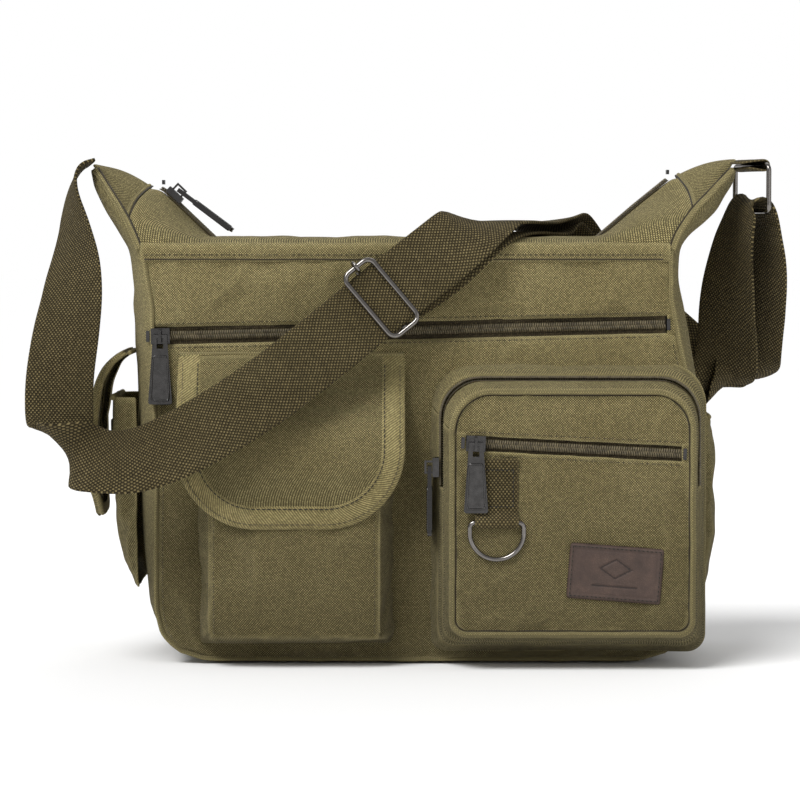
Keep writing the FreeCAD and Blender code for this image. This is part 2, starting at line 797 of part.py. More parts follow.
# across the flap: (y, z) from the seam down, in front of the panel
FLAP_PROFILE = [(-0.6, 0.0), (-5.0, -9.0), (-13.0, -23.0), (-26.5, -42.0), (-27.8, -60.0), (-27.6, -103.0)]
flap_pieces(
    "cargo_flap",
    "YZ_Plane",
    FLAP_PROFILE,
    0.0,
    size("flap_width"),
    size("flap_height"),
    size("flap_radius"),
    at(flap_middle, panel_face, flap_top),
    "XZ_Plane",
)


# hook and loop tape: one strip inside the flap, one on the pocket's front
hook_size = (60.0, 1.0, 20.0)
feature("cargo_loop_tape", Part.makeBox(*hook_size, Vector(-109, panel_face - cargo_depth - 1.05, 104)))
feature("cargo_hook_tape", Part.makeBox(60.0, 0.8, 20.0, Vector(-109, panel_face - 27.2, 106)))

# ---------------------------------------------------------------- pockets on the gussets

SIDE_HINGE = (-173.0, 180.0)
# across the side flap: (x, z) from the seam down, outwards is -X
SIDE_PROFILE = [(-0.6, 0.0), (-12.0, -5.0), (-19.5, -20.0), (-22.0, -45.0), (-23.0, -75.0), (-17.0, -99.0)]
side_middle = 0.0
flap_pieces(
    "side_flap",
    "XZ_Plane",
    SIDE_PROFILE,
    side_middle,
    size("side_flap_width"),
    size("side_flap_height"),
    size("side_flap_radius"),
    at(SIDE_HINGE[0], side_middle, SIDE_HINGE[1]),
    "YZ_Plane",
)


def tray(name, side_path, wall_path, y_low, y_high, outward):
    """An open-topped pocket on a gusset: a bent front wall and two side walls."""
    wall_thick = path_normals(wall_path, thick * outward)
    low = [Vector(x, y_low, z) for x, z in wall_path]
    high = [Vector(x, y_high, z) for x, z in wall_path]
    solids = [cloth_between(low, high, wall_thick)]
    for y in (y_low, y_high - thick):
        corners = [Vector(x, y, z) for x, z in side_path] + [Vector(x, y, z) for x, z in reversed(wall_path)]
        corners.append(corners[0])
        face = Part.Face(Part.makePolygon(corners))
        solids.append(face.extrude(Vector(0, thick, 0)))
    return feature(name, solids[0].fuse(solids[1:]).removeSplitter())


side_wall = [(-169.0, 42), (-176.5, 58), (-182.0, 84), (-184.0, 120), (-184.0, 154)]
side_inner = [(-166.8, 42), (-168.2, 70), (-171.6, 154)]
tray("side_pocket", side_inner, side_wall, -36.0, 36.0, 1)
slip_wall = [(158.0, 32), (163.4, 50), (166.6, 76), (166.6, 112), (164.4, 143)]
slip_inner = [(157.6, 32), (161.6, 70), (161.2, 110), (160.6, 140), (160.2, 143)]
tray("slip_pocket", slip_inner, slip_wall, -38.0, 38.0, -1)

feature("side_loop_tape", Part.makeBox(0.9, 40, 18, Vector(-187.1, -20, 122)))
feature("side_hook_tape", Part.makeBox(0.9, 40, 18, Vector(-194.2, -20, 112)))

# ---------------------------------------------------------------- ring and its loop

ring_wire = size("strap_wire")
RING = (192.0, zip_line, 289.5)
ring_turn = -70.0
ring_width = size("strap_ring_inner") + ring_wire
ring_height = size("strap_ring_height") + ring_wire
wire_ring(
    "strap_ring", ring_width, ring_height, ring_wire, 3.5, 3.5, at(*RING, Vector(0, 0, 1), ring_turn)
)

loop_bore = ring_wire / 2 + 0.4
loop_outer = loop_bore + 1.6
blank = Part.makeCylinder(loop_outer, 36, Vector(0, -18, 0), Vector(0, 1, 0))
blank = blank.fuse(Part.makeBox(22, 36, 2 * loop_outer, Vector(-22, -18, -loop_outer)))
blank = blank.cut(Part.makeCylinder(loop_bore, 40, Vector(0, -20, 0), Vector(0, 1, 0)))
blank = blank.cut(Part.makeBox(30, 40, 1.2, Vector(-30, -20, -0.6)))
blank.Placement = at(*RING, Vector(0, 0, 1), ring_turn + 90)
trim_box = Part.makeBox(60, 120, 60, Vector(182.3 - 60, -60, 260))
feature("ring_loop", blank.cut(trim_box))

# ---------------------------------------------------------------- strap

strap_half = size("strap_width") / 2
strap_thick = size("strap_thick")


def runs_and_arcs(route):
    """Stations along straight runs joined by tangent arcs: (point, share of the way, radius)."""
    points = [Vector(*p) for p in route]
    stations = [(points[0], 0.0)]
    radii = []
    length = 0.0
    last = points[0]
    for i in range(1, len(points) - 1):
        back = points[i - 1] - points[i]
        ahead = points[i + 1] - points[i]
        shorter = min(back.Length, ahead.Length)
        back.normalize()
        ahead.normalize()
        half_turn = (math.pi - back.getAngle(ahead)) / 2
        reach = 0.45 * shorter
        radius = reach / math.tan(half_turn)
        radii.append(radius)
        middle = back + ahead
        middle.normalize()
        centre = points[i] + middle * (radius / math.cos(half_turn))
        first = points[i] + back * reach
        final = points[i] + ahead * reach
        length += (first - last).Length + radius * 2 * half_turn
        stations.append((first, i - 0.3))
        stations.append((centre - middle * radius, float(i)))
        stations.append((final, i + 0.3))
        last = final
    length += (points[-1] - last).Length
    stations.append((points[-1], len(points) - 1.0))
    return stations, radii, length


def webbing(label, route, widths):
    """A flat strap along a route; widths are directions across it, one per route point."""
    stations, radii, length = runs_and_arcs(route)
    places = [p for p, share in stations]
    sections = []
    for i, (point, share) in enumerate(stations):
        along = places[min(i + 1, len(places) - 1)] - places[max(i - 1, 0)]
        along.normalize()
        low = int(math.floor(share))
        high = min(low + 1, len(widths) - 1)
        mix = share - low
        across = Vector(*widths[low]) * (1 - mix) + Vector(*widths[high]) * mix
        across = across - along * across.dot(along)
        across.normalize()
        normal = along.cross(across) * (strap_thick / 2)
        side = across * strap_half
        sections.append([point - side - normal, point + side - normal, point + side + normal, point - side + normal])
    solid = loft_through(sections)
    ideal = 2 * strap_half * strap_thick * length
    print(label, "length", round(length, 1), "volume share", round(solid.Volume / ideal, 3))
    print("  radii", [round(r) for r in radii])
    return feature(label, solid)


# the front half: from the left ear, down, round the fold and up over the top edge
STRAP_FRONT = [
    (-199, -8, 291), (-207, -10, 288), (-211, -14, 271), (-208, -23, 246), (-207, -34, 219),
    (-211, -46, 189), (-214, -57, 161), (-212, -67, 132), (-210, -81.5, 127), (-188, -90, 119),
    (-158, -95.5, 121), (-104, -95, 151), (-62, -85, 183), (-27, -75, 212), (4, -69, 236),
    (20, -66, 249.5), (29, -53, 255), (38, -39, 255.7),
]
STRAP_FRONT_ACROSS = [
    (0, -1, 0), (0, -1, 0), (0.25, -0.97, 0), (0.6, -0.8, 0), (0.9, -0.45, 0),
    (1, -0.1, 0), (1, 0, -0.1), (0.82, 0.1, -0.57), (0.55, 0.2, -0.8), (0.15, -0.55, -0.8),
    (0.4, -0.4, -0.8), (0.55, -0.2, -0.8), (0.57, -0.2, -0.8), (0.6, -0.15, -0.78), (0.6, -0.15, -0.78),
    (0.62, -0.3, -0.7), (0.75, -0.5, -0.3), (0.84, -0.54, 0),
]
webbing("strap_front", STRAP_FRONT, STRAP_FRONT_ACROSS)

# behind the bag: from the top edge down to the fold at the right
STRAP_BACK = [
    (38, -39, 255.7), (47, -25, 256.4), (60, 4, 255.8), (73, 29, 255.2), (84.5, 44.5, 248.5),
    (93, 52.5, 236), (110, 60, 218), (134, 63.5, 197), (157, 64, 177), (172, 61, 163),
    (183, 54, 156.5), (189, 46, 161),
]
STRAP_BACK_ACROSS = [
    (0.84, -0.54, 0), (0.84, -0.54, 0), (0.88, -0.45, 0), (0.85, -0.4, 0.2), (0.75, -0.1, 0.6),
    (0.65, 0, 0.75), (0.6, 0.05, 0.8), (0.6, 0.05, 0.8), (0.6, 0.05, 0.8), (0.65, 0.15, 0.75),
    (0.85, 0.2, 0.5), (0.8, 0.6, 0),
]
webbing("strap_back", STRAP_BACK, STRAP_BACK_ACROSS)

# the loop that hangs from the ring, its two layers side by side
STRAP_LOOP = [
    (189, 46, 161), (193.2, 40.4, 164.15), (196, 32, 178), (198, 18, 203), (201, 5, 228),
    (200, -4, 252), (195.7, -8, 268.5), (188.3, -8, 268.5), (184, -5, 252), (181, 5, 228),
    (180, 17, 203), (182, 29, 180), (181, 37, 166), (177.5, 44, 158.5),
]
STRAP_LOOP_ACROSS = [
    (0.8, 0.6, 0), (0.85, 0.3, 0), (0.8, -0.5, 0), (0.75, -0.65, 0), (0.6, -0.8, 0),
    (0.4, -0.9, 0), (0.342, -0.94, 0), (0.342, -0.94, 0), (0.4, -0.9, 0), (0.6, -0.8, 0),
    (0.75, -0.65, 0), (0.8, -0.5, 0), (0.85, -0.2, 0), (0.9, 0.3, 0),
]
webbing("strap_ring_loop", STRAP_LOOP, STRAP_LOOP_ACROSS)

# the return layer: from the right fold behind the bag, over the top edge, to the adjuster
STRAP_RETURN = [
    (177.5, 44, 158.5), (175.4, 48.2, 154), (166, 55, 158), (150, 58.5, 173), (128, 57, 193.5),
    (104, 51, 217), (86, 43, 237), (77, 36, 247.5), (70, 24, 249), (58, 2, 249),
    (45, -25, 249.8), (32, -45, 249.5), (20, -60.5, 243.5), (4, -62, 230), (-15, -65, 217.5),
]
STRAP_RETURN_ACROSS = [
    (0.9, 0.3, 0), (0.9, 0.3, 0.2), (0.65, 0.15, 0.7), (0.6, 0.05, 0.8), (0.6, 0.05, 0.8),
    (0.6, 0.05, 0.8), (0.65, 0, 0.75), (0.75, -0.3, 0.4), (0.85, -0.45, 0), (0.88, -0.45, 0),
    (0.84, -0.54, 0), (0.75, -0.6, -0.2), (0.65, -0.4, -0.6), (0.6, -0.15, -0.78), (0.6, -0.15, -0.78),
]
webbing("strap_return", STRAP_RETURN, STRAP_RETURN_ACROSS)

# adjuster: a wire frame in front of the webbing and a bar behind it
ahead = Vector(*STRAP_FRONT[14]) - Vector(*STRAP_FRONT[12])
ahead.normalize()
across = Vector(*STRAP_FRONT_ACROSS[13])
across = across - ahead * across.dot(ahead)
across.normalize()
outward = across.cross(ahead)
if outward.y > 0:
    outward = outward * -1
adjuster_at = Vector(*STRAP_FRONT[13]) + outward * 0.6
adjuster_turn = FreeCAD.Rotation(across, outward * -1, across.cross(outward * -1), "ZXY")
frame_out = strap_thick / 2 + ring_wire / 2 + 0.8
bar_back = -(strap_thick / 2 + ring_wire / 2 + 0.8)
frame_width = size("adjuster_inner") + ring_wire
frame_height = size("adjuster_height") + ring_wire
frame_top = adjuster_turn.multVec(Vector(0, -frame_out, frame_height / 2))
wire_ring(
    "adjuster_frame", frame_width, frame_height, ring_wire, 5.0, 5.0,
    FreeCAD.Placement(adjuster_at + frame_top, adjuster_turn),
)
bar_half = strap_half + 1.7
bar = Part.makeCylinder(1.4, 2 * bar_half, Vector(-bar_half, -bar_back, 0), Vector(1, 0, 0))
for end in (-1, 1):
    hook = Part.makeTorus(3.1, 1.0, Vector(end * (frame_width / 2), -frame_out, 0), Vector(0, 0, 1))
    leg = Part.makeCylinder(1.0, frame_out - bar_back, Vector(end * bar_half, -frame_out, 0), Vector(0, 1, 0))
    bar = bar.fuse([hook.common(Part.makeBox(20, 20, 20, Vector(-10 + end * frame_width / 2, -10 - frame_out, -10))), leg])
feature("adjuster_bar", bar, FreeCAD.Placement(adjuster_at, adjuster_turn))

# the strap's sewn end, folded round the bar, on top of the return layer
tail_in = 1.4 - bar_back + 0.3
tail = Part.makeBox(38, 0.9, 30, Vector(-19, tail_in, 1.0))
feature("adjuster_tail", tail, FreeCAD.Placement(adjuster_at, adjuster_turn))

feature("zip_stops", Part.makeCompound(stops))

# ---------------------------------------------------------------- write the parts

doc.recompute()
for thing in doc.Objects:
    if "Invalid" in thing.State or "Error" in thing.State:
        raise RuntimeError(f"{thing.Label} did not recompute: {thing.State}")
os.makedirs("parts", exist_ok=True)
for part in parts:
    shape = part.Shape
    if shape.isNull() or not shape.isValid():
        raise RuntimeError(f"{part.Label} has no valid shape")
for part in parts:
    part.Shape.exportStep(f"parts/{part.Label}.step")
print(len(parts), "sub-parts written")
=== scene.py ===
import bpy
import math
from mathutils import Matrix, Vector, noise
from mathutils.bvhtree import BVHTree


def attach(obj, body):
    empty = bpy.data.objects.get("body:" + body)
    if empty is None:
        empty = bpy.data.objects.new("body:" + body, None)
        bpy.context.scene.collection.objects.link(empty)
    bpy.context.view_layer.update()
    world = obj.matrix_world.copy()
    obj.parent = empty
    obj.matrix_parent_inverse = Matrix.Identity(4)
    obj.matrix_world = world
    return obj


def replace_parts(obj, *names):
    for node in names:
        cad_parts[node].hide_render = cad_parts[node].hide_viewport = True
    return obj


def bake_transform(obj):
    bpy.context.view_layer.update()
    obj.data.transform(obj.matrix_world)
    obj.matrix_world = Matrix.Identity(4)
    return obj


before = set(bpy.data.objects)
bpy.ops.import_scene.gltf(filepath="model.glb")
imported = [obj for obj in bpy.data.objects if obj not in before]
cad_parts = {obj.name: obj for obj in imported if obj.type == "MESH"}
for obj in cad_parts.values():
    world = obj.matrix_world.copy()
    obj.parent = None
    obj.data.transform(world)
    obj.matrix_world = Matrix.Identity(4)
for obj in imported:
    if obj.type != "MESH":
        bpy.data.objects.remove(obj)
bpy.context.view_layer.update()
MM = 0.001


# ---------------------------------------------------------------- points and lines


def point(p):
    """A point given in millimetres, in metres."""
    return Vector(p) * MM


def smooth_line(points, count):
    """Catmull-Rom samples through points (millimetres), evenly spread by length."""
    pts = [Vector(p) for p in points]
    dense = []
    for i in range(len(pts) - 1):
        a = pts[max(i - 1, 0)]
        b = pts[i]
        c = pts[i + 1]
        d = pts[min(i + 2, len(pts) - 1)]
        for k in range(16):
            t = k / 16
            dense.append(0.5 * (2 * b + (c - a) * t + (2 * a - 5 * b + 4 * c - d) * t * t
                                + (3 * b - 3 * c + d - a) * t ** 3))
    dense.append(pts[-1])
    return resample(dense, count)


def resample(dense, count, closed=False):
    """count points evenly spread along a dense line."""
    line = list(dense) + ([dense[0]] if closed else [])
    reach = [0.0]
    for a, b in zip(line, line[1:]):
        reach.append(reach[-1] + (b - a).length)
    total = reach[-1]
    steps = count if closed else count - 1
    out = []
    k = 0
    for i in range(count):
        want = total * i / steps
        while k < len(reach) - 2 and reach[k + 1] < want:
            k += 1
        span = reach[k + 1] - reach[k]
        share = (want - reach[k]) / span if span > 0 else 0.0
        out.append(line[k].lerp(line[k + 1], share))
    return out


def level(table, z):
    """Smooth value read from (z, value) pairs."""
    if z <= table[0][0]:
        return table[0][1]
    for (z0, v0), (z1, v1) in zip(table, table[1:]):
        if z <= z1:
            return v0 + (v1 - v0) * (z - z0) / (z1 - z0)
    return table[-1][1]


def softened(table, z, reach=7.0):
    """level() averaged over a short height, so that the line has no corners."""
    return sum(level(table, z + reach * k / 3) for k in range(-3, 4)) / 7


def rumple(p, size, seed):
    """Smooth noise from -1 to 1 at a millimetre scale."""
    return noise.noise(Vector(p) / size + Vector((seed * 7.3, seed * 3.1, seed * 1.7)))


def crease(p, size, seed):
    """Ridged noise from 0 to 1: narrow crests, as in rumpled canvas."""
    warp = Vector((rumple(p, size * 2.2, seed + 5), rumple(p, size * 2.2, seed + 9), 0)) * size * 0.8
    return (1.0 - abs(rumple(Vector(p) + Vector((warp.x, 0, warp.y)), size, seed))) ** 3


def row_of(start, step, count, z_of=None):
    """Points spaced evenly from start; z_of gives their height by x where they don't lie level."""
    line = [Vector(start) + Vector(step) * k for k in range(count)]
    if z_of:
        for p in line:
            p.z = z_of(p.x)
    return line


def stretch_of(count, wanted):
    """The unbroken stretch of a ring's count indices for which wanted holds, in order."""
    chosen = [k for k in range(count) if wanted(k)]
    first = next(k for k in chosen if (k - 1) % count not in chosen)
    return [(first + k) % count for k in range(len(chosen))]


# ---------------------------------------------------------------- meshes


def add_object(name, data):
    obj = bpy.data.objects.new(name, data)
    bpy.context.collection.objects.link(obj)
    return obj


def mesh_piece(name, verts, faces, material, body, uvs=None):
    """A piece from vertices in millimetres; uvs are per vertex, in metres."""
    mesh = bpy.data.meshes.new(name)
    mesh.from_pydata([point(v) for v in verts], [], faces)
    if uvs:
        layer = mesh.uv_layers.new(name="UVMap")
        for loop in mesh.loops:
            layer.data[loop.index].uv = uvs[loop.vertex_index]
    mesh.materials.append(material)
    for polygon in mesh.polygons:
        polygon.use_smooth = True
    obj = add_object(name, mesh)
    if body:
        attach(obj, body)
    return obj


def row_faces(rows, count, closed=False, first=0):
    """The faces between a number of rows, each of count vertices; closed joins each row's ends."""
    faces = []
    for i in range(rows - 1):
        a = first + i * count
        for k in range(count if closed else count - 1):
            m = (k + 1) % count
            faces.append((a + k, a + m, a + count + m, a + count + k))
    return faces


def end_faces(rows, count, first=0):
    """The two faces that shut the ends of closed rows."""
    last = first + (rows - 1) * count
    return [tuple(range(first + count - 1, first - 1, -1)), tuple(range(last, last + count))]


def grid(name, rows, material, body, flat=None):
    """A sheet through rows of points. flat gives uv axes for a plane, else lengths are used."""
    count = len(rows[0])
    verts = [p for row in rows for p in row]
    faces = row_faces(len(rows), count)
    uvs = []
    if flat:
        uvs = [(v[flat[0]] * MM, v[flat[1]] * MM) for v in verts]
    else:
        along = 0.0
        for i, row in enumerate(rows):
            if i:
                middle = count // 2
                along += (Vector(row[middle]) - Vector(rows[i - 1][middle])).length
            across = 0.0
            for k in range(count):
                if k:
                    across += (Vector(row[k]) - Vector(row[k - 1])).length
                uvs.append((across * MM, along * MM))
    return mesh_piece(name, verts, faces, material, body, uvs)


def thicken(obj, thick, offset=-1.0):
    """Gives a sheet its cloth thickness, in millimetres."""
    solid = obj.modifiers.new("thick", "SOLIDIFY")
    solid.thickness = thick * MM
    solid.offset = offset
    solid.use_even_offset = False
    return obj


def refine(obj, levels=1):
    sub = obj.modifiers.new("smooth", "SUBSURF")
    sub.levels = levels
    sub.render_levels = levels
    return obj


def cloth(name, rows, thick, offset, node=None, material=None, slot="canvas", body="bag", flat=None):
    """A smooth cloth piece of some thickness through rows of points, standing for a CAD node."""
    piece = refine(thicken(grid(name, rows, material or CANVAS, body, flat), thick, offset))
    if node:
        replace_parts(piece, node)
    return piece


def settle(obj, pinned, grow, pressure, cap, frames=16, bending=0.4):
    """Cloth simulation: the sheet is cut a little too large for its seams and buckles between them."""
    scene = bpy.context.scene
    group = obj.vertex_groups.new(name="pinned")
    group.add(pinned, 1.0, "REPLACE")
    cloth = obj.modifiers.new("cloth", "CLOTH")
    cloth.settings.vertex_group_mass = "pinned"
    cloth.settings.quality = 6
    cloth.settings.mass = 0.2
    cloth.settings.bending_stiffness = bending
    cloth.settings.use_pressure = True
    cloth.settings.uniform_pressure_force = pressure
    cloth.settings.shrink_min = -grow
    cloth.settings.effector_weights.gravity = 0.0
    cloth.collision_settings.use_collision = False
    cloth.collision_settings.use_self_collision = False
    cloth.point_cache.frame_start = 1
    cloth.point_cache.frame_end = frames
    rest = [v.co.copy() for v in obj.data.vertices]
    for number in range(1, frames + 1):
        scene.frame_set(number)
    graph = bpy.context.evaluated_depsgraph_get()
    moved = obj.evaluated_get(graph).to_mesh()
    places = [v.co.copy() for v in moved.vertices]
    obj.evaluated_get(graph).to_mesh_clear()
    obj.modifiers.remove(cloth)
    for vertex, start, end in zip(obj.data.vertices, rest, places):
        step = end - start
        if step.length > cap * MM:
            step *= cap * MM / step.length
        vertex.co = start + step
    scene.frame_set(1)
    return obj


def edge_indices(rows, count, sides="lrbt"):
    """Vertex numbers on the chosen sides of a grid."""
    chosen = set()
    for i in range(rows):
        for k in range(count):
            if ("b" in sides and i == 0) or ("t" in sides and i == rows - 1):
                chosen.add(i * count + k)
            if ("l" in sides and k == 0) or ("r" in sides and k == count - 1):
                chosen.add(i * count + k)
    return sorted(chosen)


def frames_along(points, closed=False):
    """(tangent, normal, binormal) at each point, without sudden twist."""
    count = len(points)
    out = []
    normal = None
    for i in range(count):
        before = points[(i - 1) % count] if closed or i else points[0]
        after = points[(i + 1) % count] if closed or i < count - 1 else points[-1]
        tangent = (after - before).normalized()
        if normal is None:
            normal = Vector((0, -1, 0)) if abs(tangent.y) < 0.8 else Vector((0, 0, 1))
        normal = (normal - tangent * normal.dot(tangent)).normalized()
        out.append((tangent, normal, tangent.cross(normal)))
    return out


def tube(name, points, radius, material=None, body="bag", closed=False, sides=10):
    """A round roll of cloth or wire along points (millimetres)."""
    pts = [Vector(p) for p in points]
    run = 0.0
    verts, uvs = [], []
    for i, (p, (tangent, normal, side)) in enumerate(zip(pts, frames_along(pts, closed))):
        if i:
            run += (p - pts[i - 1]).length
        for k in range(sides):
            turn = 2 * math.pi * k / sides
            verts.append(p + normal * math.cos(turn) * radius + side * math.sin(turn) * radius)
            uvs.append((turn * radius * MM, run * MM))
    faces = row_faces(len(pts), sides, closed=True)
    if closed:
        last = (len(pts) - 1) * sides
        for k in range(sides):
            m = (k + 1) % sides
            faces.append((last + k, last + m, m, k))
    else:
        faces += end_faces(len(pts), sides)
    return mesh_piece(name, verts, faces, material or CANVAS, body, uvs)


# along the stitch as a share of half its length, thickness as a share, lift in millimetres
STITCH_RINGS = ((-1, 0.3, -0.2), (-0.6, 0.9, 0.12), (0, 1.0, 0.28), (0.6, 0.9, 0.12), (1, 0.3, -0.2))
BAR_SIDES = 6


def add_bar(verts, faces, rings, up, side):
    """Adds a closed bar through its rings, each a centre and a radius in the plane of up and side."""
    first = len(verts)
    for centre, radius in rings:
        for k in range(BAR_SIDES):
            turn = 2 * math.pi * k / BAR_SIDES
            verts.append(centre + (up * math.sin(turn) + side * math.cos(turn)) * radius)
    faces += row_faces(len(rings), BAR_SIDES, closed=True, first=first)
    faces += end_faces(len(rings), BAR_SIDES, first)


def stitches(name, line, normals, body, pitch=3.4, length=2.5, radius=0.32, material=None):
    """A row of sewn stitches lying on a surface; line and normals are in millimetres."""
    total = sum((Vector(b) - Vector(a)).length for a, b in zip(line, line[1:]))
    count = max(int(total / pitch), 2)
    pts = resample([Vector(p) for p in line], count * 4)
    norm = resample([Vector(n) for n in normals], count * 4) if len(normals) > 1 else None
    verts, faces = [], []
    half = length / 2
    for i in range(1, count * 4 - 1, 4):
        p = pts[i]
        ahead = (pts[i + 1] - pts[i - 1]).normalized()
        out = (norm[i] if norm else Vector(normals[0])).normalized()
        side = ahead.cross(out)
        rings = [(p + ahead * half * share + out * lift, radius * fat) for share, fat, lift in STITCH_RINGS]
        add_bar(verts, faces, rings, out, side)
    return mesh_piece(name, verts, faces, material or THREAD, body)


def zip_coil(name, line, outs, width=5.0, pitch=1.35, radius=0.5):
    """Two rows of nylon turns that meet in the middle, each turn a small bowed bar."""
    total = sum((Vector(b) - Vector(a)).length for a, b in zip(line, line[1:]))
    count = int(total / pitch)
    pts = resample([Vector(p) for p in line], count * 2 + 1)
    out_line = resample([Vector(n) for n in outs], count * 2 + 1) if len(outs) > 1 else None
    verts, faces = [], []
    for i in range(1, count * 2):
        p = pts[i]
        ahead = (pts[min(i + 1, count * 2)] - pts[i - 1]).normalized()
        out = (out_line[i] if out_line else Vector(outs[0])).normalized()
        side = ahead.cross(out) * (1 if i % 2 else -1)
        rings = []
        for across, lift, lean in ((-0.25, 0.45, -0.35), (0.45, 0.95, -0.1), (1.3, 1.05, 0.1),
                                   (2.05, 0.75, 0.25), (width / 2, 0.05, 0.35)):
            rings.append((p + side * across + out * lift + ahead * lean * pitch * 0.6, radius))
        add_bar(verts, faces, rings, out, ahead)
    return mesh_piece(name, verts, faces, COIL, "bag")


# ---------------------------------------------------------------- materials


def linear(colour):
    """A display colour (0 to 255) as the linear colour a shader takes."""
    out = []
    for value in colour:
        c = value / 255
        out.append(c / 12.92 if c <= 0.04045 else ((c + 0.055) / 1.055) ** 2.4)
    return out + [1.0]


class Shader:
    """A small wrapper for building one material's nodes."""

    def __init__(self, name):
        self.material = bpy.data.materials.new(name)
        self.material.use_nodes = True
        self.tree = self.material.node_tree
        self.surface = self.tree.nodes["Principled BSDF"]

    def node(self, kind, **values):
        made = self.tree.nodes.new(kind)
        for key, value in values.items():
            setattr(made, key, value)
        return made

    def put(self, socket, value):
        if hasattr(value, "is_output") or hasattr(value, "links"):
            self.tree.links.new(value, socket)
        else:
            socket.default_value = value

    def numbers(self, values):
        """Values that are the same all over, set on the shader's own sockets."""
        for key, value in values.items():
            self.surface.inputs[key].default_value = value

    def math(self, operation, a, b=0.0, clamp=False):
        made = self.node("ShaderNodeMath", operation=operation, use_clamp=clamp)
        self.put(made.inputs[0], a)
        self.put(made.inputs[1], b)
        return made.outputs[0]

    def mix(self, factor, a, b, blend="MIX"):
        made = self.node("ShaderNodeMix", data_type="RGBA", blend_type=blend)
        self.put(made.inputs[0], factor)
        self.put(made.inputs[6], a)
        self.put(made.inputs[7], b)
        return made.outputs[2]

    def noise(self, vector, scale, detail=2.0, roughness=0.5):
        made = self.node("ShaderNodeTexNoise")
        self.put(made.inputs["Vector"], vector)
        made.inputs["Scale"].default_value = scale
        made.inputs["Detail"].default_value = detail
        made.inputs["Roughness"].default_value = roughness
        return made.outputs["Fac"]

    def spread(self, value, low, high, to_low=0.0, to_high=1.0):
        made = self.node("ShaderNodeMapRange")
        self.put(made.inputs[0], value)
        for slot_number, number in ((1, low), (2, high), (3, to_low), (4, to_high)):
            made.inputs[slot_number].default_value = number
        return made.outputs[0]

    def bump(self, height, distance, strength=1.0, under=None):
        made = self.node("ShaderNodeBump")
        made.inputs["Strength"].default_value = strength
        made.inputs["Distance"].default_value = distance
        self.put(made.inputs["Height"], height)
        if under is not None:
            self.put(made.inputs["Normal"], under)
        return made.outputs[0]

    def coordinates(self):
        made = self.node("ShaderNodeTexCoord")
        return made.outputs["UV"], made.outputs["Object"]


